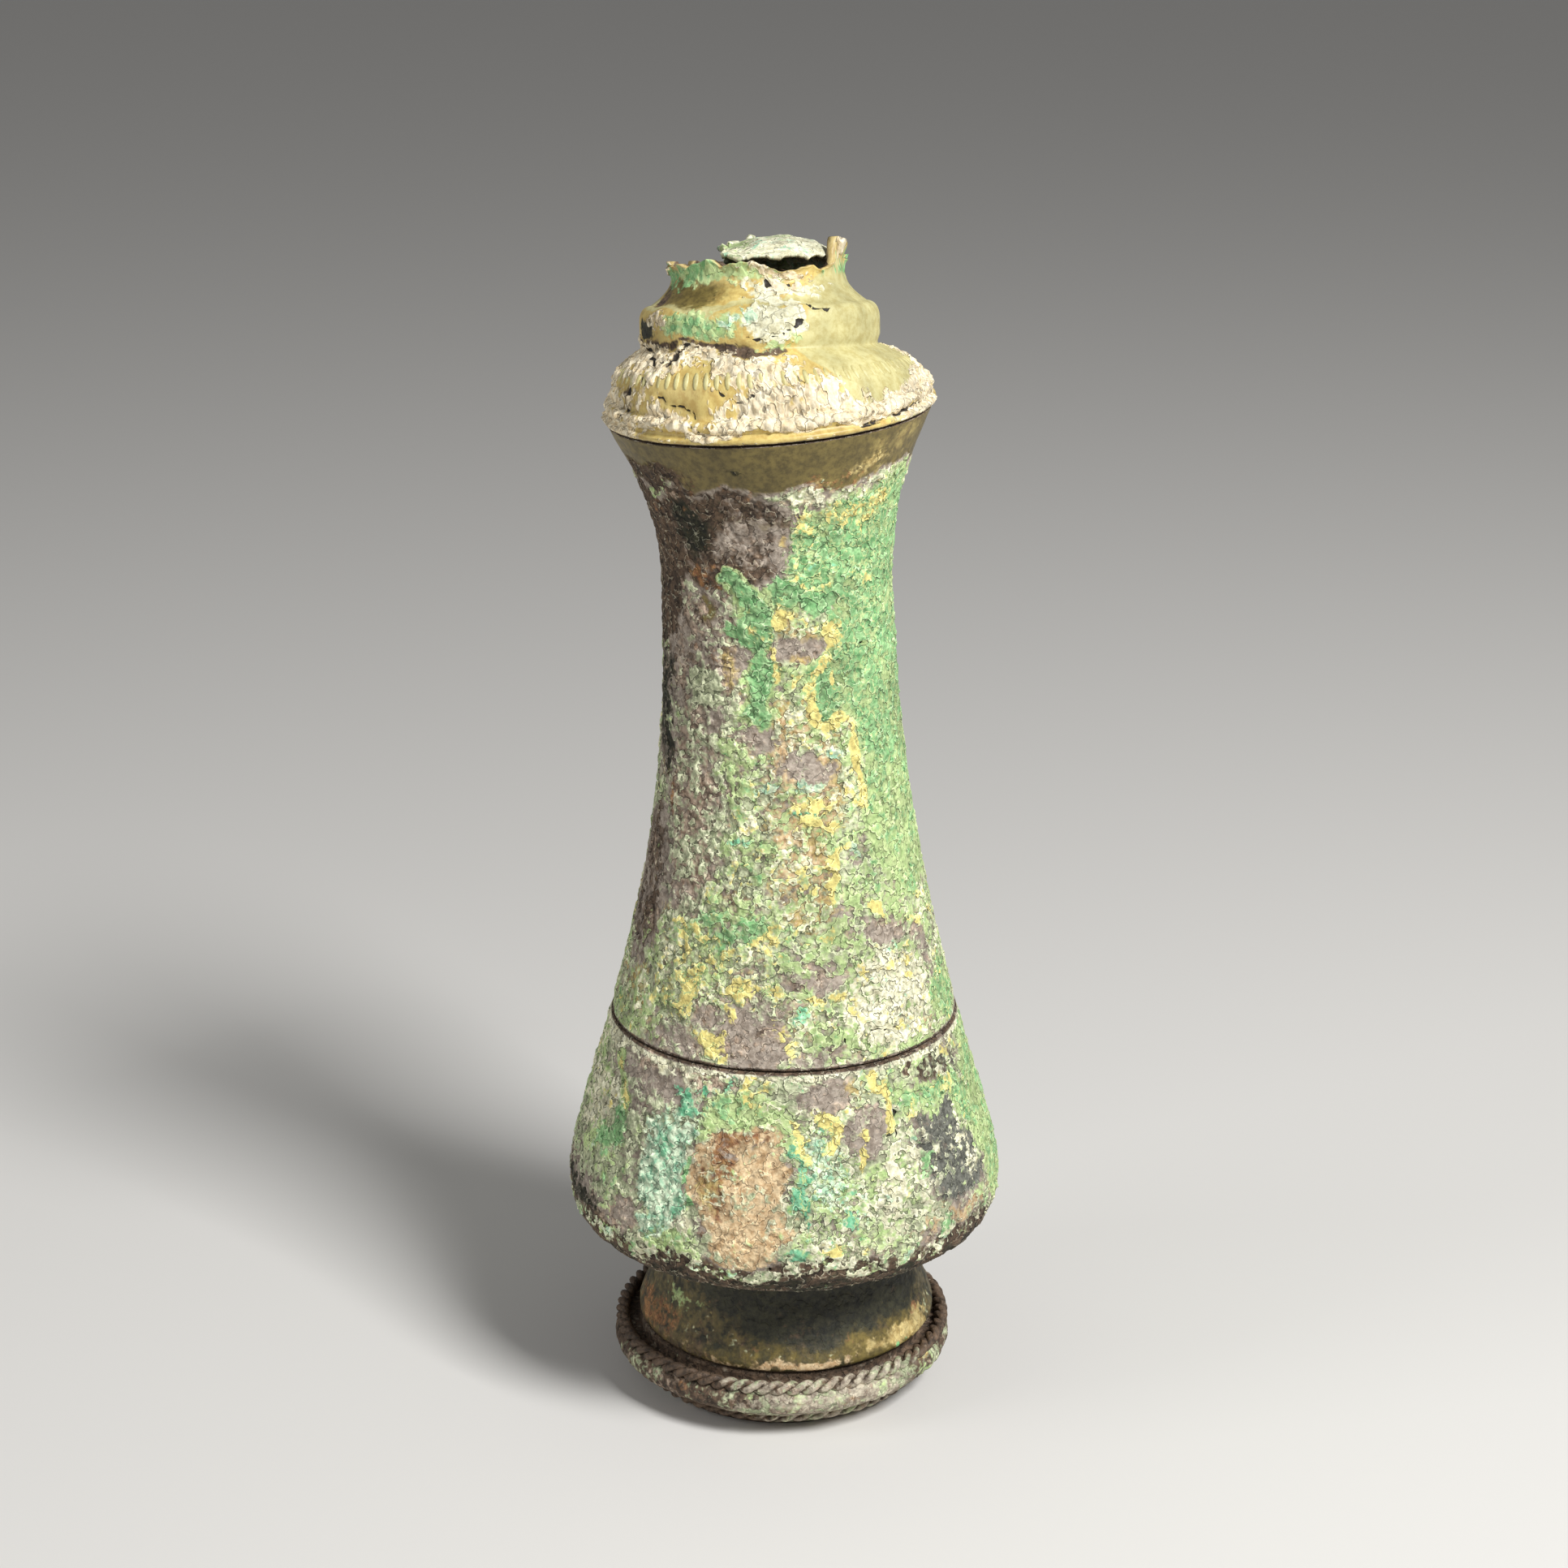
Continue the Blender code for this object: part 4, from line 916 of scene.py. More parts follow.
BOWL_PATCHES = marks(
    # Fields
    ("pinkish", (0.9, -42, 29.8, 10, 2.6), (0.7, -44, 25, 3.6, 2.0)),
    ("pale_leaf", (1.0, -74, 26, 8, 9, 0.0, 2.4)),
    # Dark green low on the left and up the left edge: painted shade on the bowl's shaded lower left
    ("dark_green", (0.9, -74, 7, 12, 5.4, 0.0, 3.0), (0.2, -80, 14, 4.0, 8, 0.0, 2.4)),
    ("knobs", (1.0, -34, 20.5, 4.2, 9.5)),
    ("arch", (1.0, -11.5, 19.5, 7.2, 10.6)),
    ("tan_field", (1.0, -12.4, 18.0, 7.2, 8.4, 0.0, 1.8), (1.0, -10.0, 11.8, 6.4, 5.4, 0.0, 1.8)),
    ("mixed", (1.0, 13, 18, 5.6, 11)),
    ("speckled", (0.8, 30, 28, 6, 4)),
    ("pale_leaf", (1.0, 35.5, 16, 5.0, 8.4)),
    ("grey_field", (0.9, 57, 19, 7.6, 12, 0.0, 3.4), (0.7, 55.5, 20, 4.6, 8.4, 0.0, 2.2)),
    ("leaf_field", (1.0, 81, 18, 6.0, 13)),
    ("malachite_edge", (0.9, 50, 26.4, 5.6, 2.0), (0.9, 66, 23, 3.0, 3.4, 30)),
    ("tan_low", (1.0, 50, 8.6, 12, 2.4)),
    # Upper left
    ("plate", (0.7, -50, 28.4, 9.6, 3.4, 0.0, 2.0)),
    ("cream", (0.2, -52, 31.2, 14, 1.2)),
    ("umber", (0.0, -66, 22, 2.2, 3)),
    ("yellow", (0.1, 0.9, ((-63, 28.5), (-60, 27), (-55, 24.5)))),
    ("leaf", (1.0, 1.1, ((-63, 28.5), (-60, 27), (-55, 24.5)))),
    ("green", (0.7, -56.5, 21.5, 1.4, 2.8), (0.3, -62, 18.5, 1.8, 2.4)),
    ("pit", (0.1, 0.14, ((-52, 25.4), (-47, 24.6), (-42, 24.8), (-36, 24.6), (-31, 24.2)), 0.3)),
    # Knobbly mint field left of the middle
    ("mint", (0.8, -37, 17, 3.4, 4.6), (0.9, -34, 12.5, 1.6, 2.6)),
    ("teal", (0.3, -28, 27.6, 3, 1.8), (0.3, 1.0, ((-33, 29), (-28, 28), (-22, 29.6), (-18.5, 31)), 1.2),
     (-0.1, 1.0, ((-38.5, 25), (-39, 22), (-36, 20)), 1.2),
     (-0.1, 1.2, ((-34, 18), (-29, 16), (-33, 12.5)), 1.2)),
    ("plate", (0.9, -46, 10.5, 2.4, 1.7)),
    ("leaf", (0.9, -32, 9, 3, 1.8)),
    ("mint", (1.2, -39.5, 9.9, 0.9, 0.5)),
    ("cream", (1.0, -29, 11.3, 1.1, 0.6)),
    # Arch and tan field
    ("leaf", (1.0, -11, 27.0, 5.6, 1.8)),
    ("green", (0.0, -17, 27.5, 2.4, 1.4), (0.9, 0.4, ((-27.5, 20), (-27, 17), (-26, 14.5)))),
    ("yellow", (-0.1, -12, 30.0, 4.6, 1.4)),
    ("orange", (0.6, -20, 21.0, 1.6, 2.8), (0.2, -14, 23.2, 3.6, 0.8), (0.6, -18, 18, 2.4, 5.0),
     (0.6, -11, 23.8, 5.0, 1.2), (0.3, -8, 29.2, 3.2, 0.8), (0.2, -17, 9.6, 3.4, 1.0)),
    ("ochre", (0.4, -20.5, 16.5, 1.5, 2.4)),
    ("tan", (-0.3, -18, 18, 2.6, 5.0), (-0.3, -11, 23.8, 5.0, 1.2), (1.3, -7, 16.5, 3.0, 4.0),
     (1.2, -8, 12.5, 3.2, 2.2)),
    ("charcoal", (0.6, 0.6, ((-9, 23), (-6, 22.6), (-3, 21), (-1, 19.4), (0.5, 17))),
     (0.8, -26, 22.3, 0.6, 3.0)),
    # Green line and the mixed field right of the middle
    ("yellow", (0.8, 0.3, ((2.5, 26.5), (3.5, 24), (5.6, 21.5)))),
    ("teal", (0.3, 0.8, ((2.5, 23), (4, 21), (4.5, 18), (5, 16), (4.8, 13.2))), (0.2, 4, 8.5, 1.2, 1.8),
     (0.4, 4.8, 6.2, 1.0, 1.5)),
    ("plate", (0.95, 12, 29.4, 3.8, 2.2), (0.95, 24, 24.0, 2.6, 3.4)),
    ("mint", (0.1, 11, 20.8, 3.4, 4.2)),
    ("teal", (0.9, 11, 26.2, 0.7, 0.6), (0.2, 18, 14.2, 1.2, 1.4), (0.2, 21.5, 12.8, 1.0, 1.2)),
    ("yellow", (1.0, 0.6, ((9, 26.8), (13, 26.8), (15, 25.4), (17.5, 24.8), (16, 23.4), (14, 22.6))),
     (0.9, 0.4, ((24.5, 23.6), (23.5, 21), (23, 18.2))),
     (0.9, 0.7, ((28, 31.5), (29, 30), (33, 29.5), (33.5, 27.5), (31.5, 26), (31, 24.6))),
     (0.6, 12, 8.5, 1.4, 1.6), (0.6, 22, 9.2, 1.5, 0.7)),
    ("ochre", (0.7, 23, 29.6, 2.4, 1.4), (0.3, 11, 16.4, 2.0, 1.0)),
    ("charcoal", (0.7, 11, 14.3, 2.2, 0.6), (0.5, 8, 12, 1.6, 1.2), (0.4, 17, 8, 0.8, 2.4)),
    ("tan", (0.3, 6, 11, 1.6, 2.2)),
    ("orange", (0.4, 33, 21.5, 1.4, 2.4)),
    ("pit", (0.6, 35.6, 25.7, 0.7, 0.5, 0.0, 0.35), (0.3, 0.2, ((34.5, 24.6), (33.8, 23.8), (30, 23.6)), 0.3),
     (0.1, 0.25, ((38, 27.2), (42, 28.4)), 0.3)),
    ("cream", (1.0, 35.4, 26.4, 0.8, 0.3)),
    # Right: pale field, charcoal field and bright green edge
    ("umber", (0.9, 53, 29.6, 4.4, 1.2, -10), (0.8, 61, 27.6, 1.9, 1.6)),
    ("yellow", (0.0, 66, 30.6, 5, 1.8), (-0.2, 41, 24.4, 2.0, 1.2)),
    ("cream", (0.0, 59, 17.5, 3.0, 4.0), (-0.2, 57, 22.5, 1.8, 2.4)),
    ("green", (0.2, 43.5, 19, 1.0, 4.0), (0.5, 42, 7.4, 3.6, 1.0)),
    ("tan", (0.3, 35, 11.4, 3.6, 1.2), (1.0, 47, 11.6, 0.8, 0.6), (0.4, 62, 8.2, 4.6, 1.7)),
    ("mint", (0.8, 28.5, 15.2, 1.1, 0.8), (0.7, 40, 22.8, 0.9, 0.5)),
    # Crumbled edge under the belly, and the underside darkened as painted shade
    ("crumbs", (1.0, 0, 6.4, 100, 1.6, 0.0, 0.8)),
    ("underside", (1.0, 0, 0.4, 180, 5.0, 0.0, 0.6)),
    ("pit", (0.3, 0.16, ((-9.5, 6), (-7.5, 8), (-4.5, 8.7), (-1.5, 7.6), (0, 5.8)), 0.35)),
    # Pale line round the rim: a painted highlight along its edge
    ("cream", (0.7, 0, BOWL_HEIGHT - 0.6, ALL_ROUND, 0.35, 0.0, 0.3)),
)

COVER_PATCHES = marks(
    # Fields
    ("mauve_mix", (1.0, -42, 53, 7.0, 10)),
    ("brown", (1.0, -28, 69.5, 11.4, 7.4)),
    ("plate", (0.4, -8, 68.6, 4.6, 2.6)),
    # The black patch and the dark green strip down the left edge are partly dark patina and partly painted shade
    # of the cover's shaded left side
    ("black", (1.0, -80, 65, 7.2, 11)),
    ("dark_green", (0.9, -77, 46, 3.4, 10, 0.0, 2.4)),
    ("pinkish", (1.0, -45, 31, 4.4, 13)),
    ("ochre_mix", (1.0, 9, 33, 5.2, 15)),
    ("fine_right", (1.0, 44, 24, 7.2, 8.4)),
    ("malachite", (1.0, 68, 56, 10.5, 19)),
    ("malachite_edge", (1.0, 38, 68, 9.2, 6.6)),
    ("malachite", (0.8, 40, 67, 6.0, 4.2)),
    ("leaf_field", (0.9, 72, 31, 9.6, 11.5), (0.5, 84, 54, 6.6, 18)),
    ("yellow_mix", (1.0, -26, 8, 10.5, 7.4)),
    # Brown low on the left: partly dark patina, partly painted shade of the shaded left side
    ("brown", (0.7, -73, 21, 5.0, 11, 0.0, 2.4)),
    ("cream_field", (1.0, 41, 7.6, 8.0, 6.2)),
    # Upper left: brown, mauve and olive
    ("orange", (-0.3, -66, 73, 3.4, 2.4), (0.1, -34, 64.4, 2.0, 2.0),
     (0.4, 0.4, ((-47, 63), (-40, 65), (-36, 62), (-27, 62.6), (-17, 59.6))), (0.0, -42, 53.4, 2.4, 0.8)),
    ("moss", (0.5, -42, 71, 3.0, 3.2)),
    ("olive", (0.6, 0.5, ((-37, 73.6), (-40, 71.2), (-38, 69.2), (-32, 69))), (1.0, -35.5, 59.2, 1.6, 1.9),
     (0.4, -4, 71.0, 3.0, 0.6)),
    ("umber", (0.8, -30, 72.4, 3.4, 2.6)),
    ("ochre", (0.5, -22.5, 52, 1.0, 3.0), (0.3, 1, 69.0, 0.9, 1.2)),
    ("sage", (0.6, -40, 49, 3.4, 2.8)),
    ("mint", (0.0, -27, 46.6, 2.0, 0.6)),
    # Green tongues
    ("green", (1.1, 1.2, ((-21, 64), (-14, 61.8), (-9, 59), (-9.5, 55), (-10, 51), (-12, 47.2), (-7, 45))),
     (0.9, -9.5, 57, 2.0, 3.2), (1.0, -20, 57.6, 1.5, 1.3), (0.9, 2, 62.4, 1.2, 1.6), (0.9, 18, 62, 2.4, 2.2)),
    ("leaf", (1.1, 1.6, ((-21, 64), (-14, 61.8), (-9, 59), (-9.5, 55), (-10, 51), (-12, 47.2), (-7, 45))),
     (0.9, 0, 61.4, 2.4, 2.0)),
    ("charcoal", (1.0, 0.3, ((-20, 62.6), (-15, 61.6), (-12, 60)), 0.3)),
    ("pit", (0.3, 0.14, ((-24, 63.6), (-17, 62.2), (-12, 60)), 0.3)),
    # Ochre and mauve between the greens
    ("ochre_mix", (0.9, 8, 56.6, 4.0, 2.2)),
    ("ochre", (0.9, 8, 57.4, 3.2, 1.3)),
    ("plate", (1.0, 8, 54.0, 4.4, 1.4)),
    ("cream", (0.1, 11, 54.8, 3.2, 0.5)),
    ("ochre", (0.8, 9, 53.0, 2.4, 0.6), (0.9, 7, 46.0, 3.0, 2.0)),
    ("yellow", (1.0, 2, 58.6, 0.9, 0.8)),
    ("pit", (0.2, 0.16, ((0.5, 55.2), (10, 55.4), (20, 55.4)), 0.3)),
    ("orange", (0.6, 12, 45.4, 1.6, 1.2)),
    ("olive", (0.7, 21, 43.0, 2.6, 1.0)),
    ("plate", (0.8, -12, 42.8, 3.0, 1.2)),
    # Yellow network
    ("malachite", (1.0, 26, 50, 3.2, 4.4)),
    ("yellow", (1.1, 25, 55.4, 1.1, 2.0, -20), (1.0, 0.4, ((20, 52), (24, 52.6), (28, 51.6), (29.5, 49.6))),
     (1.1, 0.65, ((21, 51), (17, 49.6), (15.5, 47.6), (17, 45.6), (22, 44.9), (28, 45.4))),
     (1.0, 0.6, ((28, 45.4), (34, 44.6), (36, 42), (36.4, 38.4), (38.5, 35.4), (37.6, 33))),
     (0.9, 0.3, ((-7, 54.6), (-6, 52.4), (-3, 50.6))), (0.8, 0.5, ((22, 26.4), (21, 23), (20.4, 21))),
     (0.7, 0.4, ((29, 27.6), (24.5, 27), (22, 26.2))),
     (0.9, 0.4, ((35, 19.6), (45, 17.2), (56, 16.8), (62, 15))), (1.0, 14, 33.8, 1.2, 0.45),
     (1.0, 16, 31.4, 1.1, 0.35), (-0.1, 24, 72, 4.2, 3.0), (0.2, 47, 71, 1.8, 1.4)),
    ("green", (1.1, 24.5, 49.8, 1.2, 1.0), (1.1, 21, 47.2, 1.1, 0.9)),
    ("cream", (0.4, 24, 74.4, 3.6, 0.9)),
    # Middle and lower left
    ("orange", (0.9, -58, 33, 1.9, 2.0), (0.6, -17.5, 34, 0.8, 2.8)),
    # Dark green on the left: partly dark patina, partly painted shade of the shaded left side
    ("dark_green", (0.7, -64, 38, 2.4, 4)),
    ("umber", (0.0, -24, 22, 4.4, 2.4)),
    ("green", (0.0, -24, 17.4, 4.6, 3.2)),
    ("leaf", (0.2, -26, 14, 4.2, 3.0)),
    ("sage", (0.9, 0.3, ((-17, 24.2), (-12, 22.8), (-7, 21.4)))),
    ("pit", (0.2, 0.14, ((-17, 23.8), (-12, 22.4), (-7, 21.0)), 0.25)),
    ("charcoal", (0.5, -58, 9, 1.4, 4.0, 15)),
    # Ochre column down the middle
    ("ochre", (0.8, 28, 38, 1.3, 4.0), (0.5, 27, 33.6, 2.4, 2.0), (0.7, 16, 28, 1.6, 4.4),
     (0.6, 13, 20, 2.4, 2.6), (0.6, 0, 20, 1.6, 0.8)),
    ("plate", (0.8, 11, 38.4, 3.4, 1.8)),
    ("mint", (0.8, 23, 41, 2.0, 0.9), (0.6, 16, 36.2, 2.8, 0.7), (0.8, -7, 36.2, 1.4, 0.7),
     (0.6, 31, 27, 1.4, 0.8)),
    ("teal", (0.5, 12, 32.6, 2.0, 0.9), (-0.1, -18, 29.6, 1.6, 1.2)),
    # Plates, pale field and yellow spots of the lower part
    ("plate", (1.0, 46, 16, 3.2, 1.4, -12), (0.9, 62, 12, 1.3, 3.6, 20), (0.8, 13, 11.8, 3.2, 1.3),
     (1.0, -10.5, 4.4, 3.8, 4.8, 12), (0.9, -27, 5.6, 1.6, 1.2), (0.8, -36, 2, 3.2, 1.6),
     (0.7, 8, 1.6, 4, 1.0)),
    ("pit", (0.3, 0.16, ((24, 5.2), (30, 5.4)), 0.3), (0.3, 0.16, ((33, 3.7), (40, 3.9), (48, 3.4)), 0.3),
     (0.4, 0.16, ((44, 10.9), (49, 10.9)), 0.25), (0.3, 0.16, ((20, 3.4), (22, 2.2), (27, 1.2)), 0.3)),
    ("teal", (0.5, 49, 13.6, 1.4, 0.5), (0.4, 53, 5, 0.9, 0.8), (0.1, 5, 8, 1.4, 1.4)),
    ("yellow", (1.0, -13.5, 10.4, 0.8, 0.8), (1.1, -25, 3.4, 1.0, 0.7), (0.3, -19, 5.4, 1.2, 4),
     (0.1, -37, 8.2, 1.4, 2.6), (0.5, 0, 4.6, 0.9, 2.4, 18), (0.6, 12, 9.4, 1.6, 0.5),
     (0.4, -5, 16.6, 0.6, 1.0), (0.4, -8, 13.4, 0.8, 0.6), (0.3, -36, 16.2, 1.2, 0.6)),
    ("ochre", (0.9, -64, 5.4, 2.6, 3.6)),
    ("tan", (0.4, 54, 2.6, 2.4, 1.2)),
    ("malachite_edge", (0.9, 74, 5, 4.0, 4.4)),
    ("pit", (0.5, 44, 54.2, 0.8, 0.3, 0.0, 0.3), (0.4, 43, 51.7, 0.5, 0.3, 0.0, 0.3)),
    ("charcoal", (0.5, 53, 60, 1.0, 0.8)),
    # Smooth olive band under the crown, and the stains along its lower edge
    ("band", (1.0, 0, 82.6, 100, 6.4)),
    ("umber", (0.7, -58, 77.6, 8, 1.8)),
    ("moss", (0.4, -14, 77.8, 3.0, 0.8)),
    ("ochre", (0.6, 44, 78.2, 4.4, 1.2)),
    ("orange", (0.2, 38, 77.4, 3.8, 0.8), (0.3, 4, 76.0, 9, 0.6)),
    # Gold over the band's right: partly its yellow patina, partly a painted sheen on its lit right side
    ("gold", (-0.1, 58, 80.4, 9.0, 2.6, 0.0, 2.6)),
    ("charcoal", (0.8, 51, 74.9, 1.2, 0.5), (0.7, 52, 69.6, 0.8, 0.9)),
)

CROWN_PATCHES = marks(
    ("gold", (0.8, -20, 4, 30, 12)),
    # Straw on the right; the thin straw line round the tier's upper edge is a painted highlight
    ("straw", (0.9, 60, 8, 11, 9), (1.3, 0, 13.6, 90, 0.5, 0.0, 0.4)),
    ("olive", (0.9, -50, 15.2, 7, 1.4)),
    ("cream", (0.5, 15, 15, 6, 1.2)),
    # Shoulder crust, with windows to the smooth patina
    ("crust", (0.55, -20, 3.8, 60, 4.2, 0.0, 0.5), (0.5, 180, 4.5, 60, 5.5), (-1.0, -33, 5.3, 4.6, 1.1),
     (-1.0, -30, 4.2, 3.4, 0.6), (-1.0, -23.5, 3.3, 1.0, 1.0), (-1.0, -68, 5.3, 1.6, 0.9),
     (0.1, -60, 3.6, 5.0, 2.2), (-1.0, 50, 8.6, 10.5, 3.9, 6), (-1.0, 60, 5.6, 8.0, 1.6, 8),
     (0.9, 66, 2.6, 10, 1.1), (-1.0, -2, 0.6, 17, 0.7, 0.0, 0.4), (0.0, 14, 15.0, 5, 1.0)),
    ("umber", (0.0, -60, 3.6, 5.0, 2.2)),
    # Tier
    ("crust", (0.5, -58, 11.6, 2.4, 1.2)),
    ("green", (0.1, -32, 11.2, 5.0, 1.8)),
    ("leaf", (0.9, -31, 11.2, 6.0, 2.0), (0.7, 8, 9.3, 3.0, 0.5)),
    ("mint", (0.5, -14, 11.6, 1.8, 1.4), (0.3, -4, 12, 2.0, 0.9)),
    ("cream", (1.2, 5, 11.4, 4.2, 1.7), (1.2, 19.5, 10.1, 0.6, 0.4)),
    ("moss", (0.9, -68, 10.6, 3.4, 1.4)),
    ("gold", (0.9, -51.5, 10.4, 0.9, 0.6)),
    # The dark line along the tier's foot is painted shade under its overhang
    ("umber", (0.9, 0.5, ((-80, 8.9), (-45, 8.8), (-20, 8.5), (9, 8.5)))),
    ("pit", (0.5, 0.25, ((-80, 8.0), (-55, 7.6), (-40, 7.7), (-29, 7.8)), 0.3),
     (0.4, 0.14, ((-7, 9.7), (2, 10.0), (9, 10.1), (15, 9.9)), 0.2), (0.8, 18.6, 10.7, 0.6, 0.45, 35, 0.25),
     (0.4, 0.12, ((21, 12.4), (30, 12.6), (40, 12.8)), 0.18)),
    # Cavities of the shoulder
    ("pit", (0.6, -50, 5.8, 1.3, 0.35, 0.0, 0.4),
     (0.5, 0.2, ((-41, 3.9), (-36, 3.4), (-27, 3.3), (-22, 2.0)), 0.25),
     (0.3, 0.2, ((-56, 3.0), (-46, 2.8)), 0.3), (0.8, -62, 4.2, 1.0, 0.35, 0.0, 0.3),
     (0.8, -64, 2.6, 0.8, 0.4, 0.0, 0.3), (0.5, 0.16, ((-14, 5.2), (-8, 4.8), (-1, 4.9)), 0.25),
     (0.3, 0.18, ((9, 5.6), (16, 5.4)), 0.25), (0.25, 0.35, ((32, 1.0), (48, 1.2), (66, 1.1)), 0.4)),
    # Stump
    ("green", (-0.2, -38, 17.7, 9, 0.8), (0.6, 180, 16.5, 25, 2.0)),
    ("leaf", (0.7, -34, 17.2, 9, 1.2), (0.5, -8, 16.9, 3, 0.8)),
    ("crust", (0.6, 12, 17.3, 5, 0.9), (0.5, 66, 18.6, 3.0, 2.0), (0.6, -88, 18, 2.0, 1.4)),
    ("gold", (0.8, 40, 17.2, 2.2, 1.0)),
    ("umber", (0.6, -66, 14.8, 2.6, 0.8)),
    ("pit", (1.0, 6.5, 15.7, 0.55, 0.35, -30, 0.2), (0.8, 16.5, 15.7, 0.3, 0.25, 0.0, 0.2)),
)

FOOT_PATCHES = marks(
    ("orange", (0.2, -66, 3.6, 6, 1.8), (0.8, 64, 3.2, 1.3, 1.2)),
    ("umber", (0.6, -60, 1.0, 12, 0.9), (0.7, -16, 4.2, 0.9, 1.4)),
    ("sage", (-0.4, -30, 3.2, 8, 1.2), (-0.5, 11, 2.0, 3.4, 1.1), (-0.2, 75, 2.4, 3, 1.6)),
    ("tan", (-0.1, -14, 0.9, 15, 1.1, 0.0, 1.2), (0.6, 7, 0.6, 5, 0.6)),
    ("olive", (0.7, 27, 2.6, 3.2, 1.4), (0.8, 45, 2.6, 5.0, 1.8)),
    ("ochre", (0.5, 50, 2.4, 6.0, 1.6), (0.6, 62, 1.8, 3, 1.4)),
    ("green", (0.9, 48, 1.1, 1.2, 0.5)),
    ("leaf", (-0.3, -55, 7, 9, 2)),
    # Coats cleared off the top under the bowl so that the nearly black patina shows: painted shade of the bowl's
    # shadow
    ("bare", (1.0, 22, 9.6, 17, 5.4, 0.0, 1.8)),
    ("orange", (0.4, 180, 3, 12, 2)),
)

RING_PATCHES = marks(
    # Umber on the far left and far right is painted shade on the ring's sides; the small marks are stains
    ("umber", (3.0, -76, 6, 20, 7, 0.0, 5.0), (0.3, -20, 5.0, 3.4, 0.7), (0.2, 18, 5.0, 3.0, 0.6),
     (0.1, -4, 4.2, 9, 0.7), (0.9, 80, 6.0, 13, 6, 0.0, 3.0)),
    ("orange", (0.3, -37, 6, 1.2, 1.0), (0.2, 22, 6, 1.6, 0.8)),
    ("leaf", (0.2, -12, 6.8, 1.4, 0.7), (-0.2, 55, 6.4, 6, 2.2), (0.3, -66, 7.2, 2.0, 0.6)),
    ("sage", (0.1, 60, 6.0, 8, 2.4)),
    ("ochre", (0.6, 52, 8.9, 5, 1.0)),
)

ROPE_PATCHES = marks(
    # Umber on the far left and far right is painted shade on the ropes' sides
    ("umber", (2.6, -76, 5, 20, 8, 0.0, 5.0), (0.9, 80, 5, 13, 7, 0.0, 3.0)),
    ("sage", (0.0, 60, 8, 12, 3)),
)


# Pieces

def build_shell(name, line, around, coats, material, patches, mix, place, lumps, grain, closed=True):
    """A turned casting with its coats painted on before it is bent into place.

    Lumps is the height of its broad unevenness and grain the roughness of its bare metal, in millimetres.
    """
    obj = turned_mesh(name, line, around, closed)
    keep_rest_place(obj)
    paint(obj, coats, patches, mix)
    write_points(obj, place(read_points(obj)))
    raise_crust(obj, coats, material, lumps, grain)
    return obj


def back_patches(seed, count, top):
    """Fields of the same kinds on the side that the photograph doesn't show."""
    chance = random.Random(seed)
    found = []
    for _ in range(count):
        mix, wide, tall = chance.choice(BACK_FIELDS)
        size = chance.uniform(0.6, 1.3)
        found.append(Patch(
            mix, 0.9, chance.uniform(*BACK), chance.uniform(0.0, top), wide * size, tall * size,
            chance.uniform(-30.0, 30.0),
        ))
    return tuple(found)


def petal_row(name, radius, height, slope, count, size, material):
    """Geometry nodes that repeat one rib round the shoulder; size is its depth, width and length in mm."""
    tree, given, values = new_tree(name, {
        "Row radius": radius * MM, "Row height": height * MM, "Slope": math.radians(slope),
        "Depth": size[0] * MM, "Width": size[1] * MM, "Length": size[2] * MM, "Ribs": count,
    })
    ball = add_node(tree, "GeometryNodeMeshUVSphere", {"Segments": 8, "Rings": 6, "Radius": 1.0})
    form = add_node(tree, "ShaderNodeCombineXYZ", {0: given["Depth"], 1: given["Width"], 2: given["Length"]})
    rib = add_node(tree, "GeometryNodeTransform", {"Geometry": ball, "Scale": form})
    place = add_node(tree, "ShaderNodeCombineXYZ", {0: given["Row radius"], 2: given["Row height"]})
    lean = add_node(tree, "ShaderNodeCombineXYZ", {1: given["Slope"]})
    set_out = add_node(tree, "GeometryNodeTransform", {"Geometry": rib, "Translation": place, "Rotation": lean})
    share = add_node(tree, "ShaderNodeMath", {0: math.tau, 1: given["Ribs"]}, operation="DIVIDE")
    number = add_node(tree, "GeometryNodeInputIndex")
    angle = add_node(tree, "ShaderNodeMath", {0: number, 1: share}, operation="MULTIPLY")
    turn = add_node(tree, "ShaderNodeCombineXYZ", {2: angle})
    points = add_node(tree, "GeometryNodePoints", {"Count": given["Ribs"]})
    row = add_node(
        tree, "GeometryNodeInstanceOnPoints", {"Points": points, "Instance": set_out, "Rotation": turn},
    )
    obj = new_object(name, bpy.data.meshes.new(name))
    end_tree(tree, row, material, obj, values)
    flatten(obj)
    keep_rest_place(obj)
    return obj


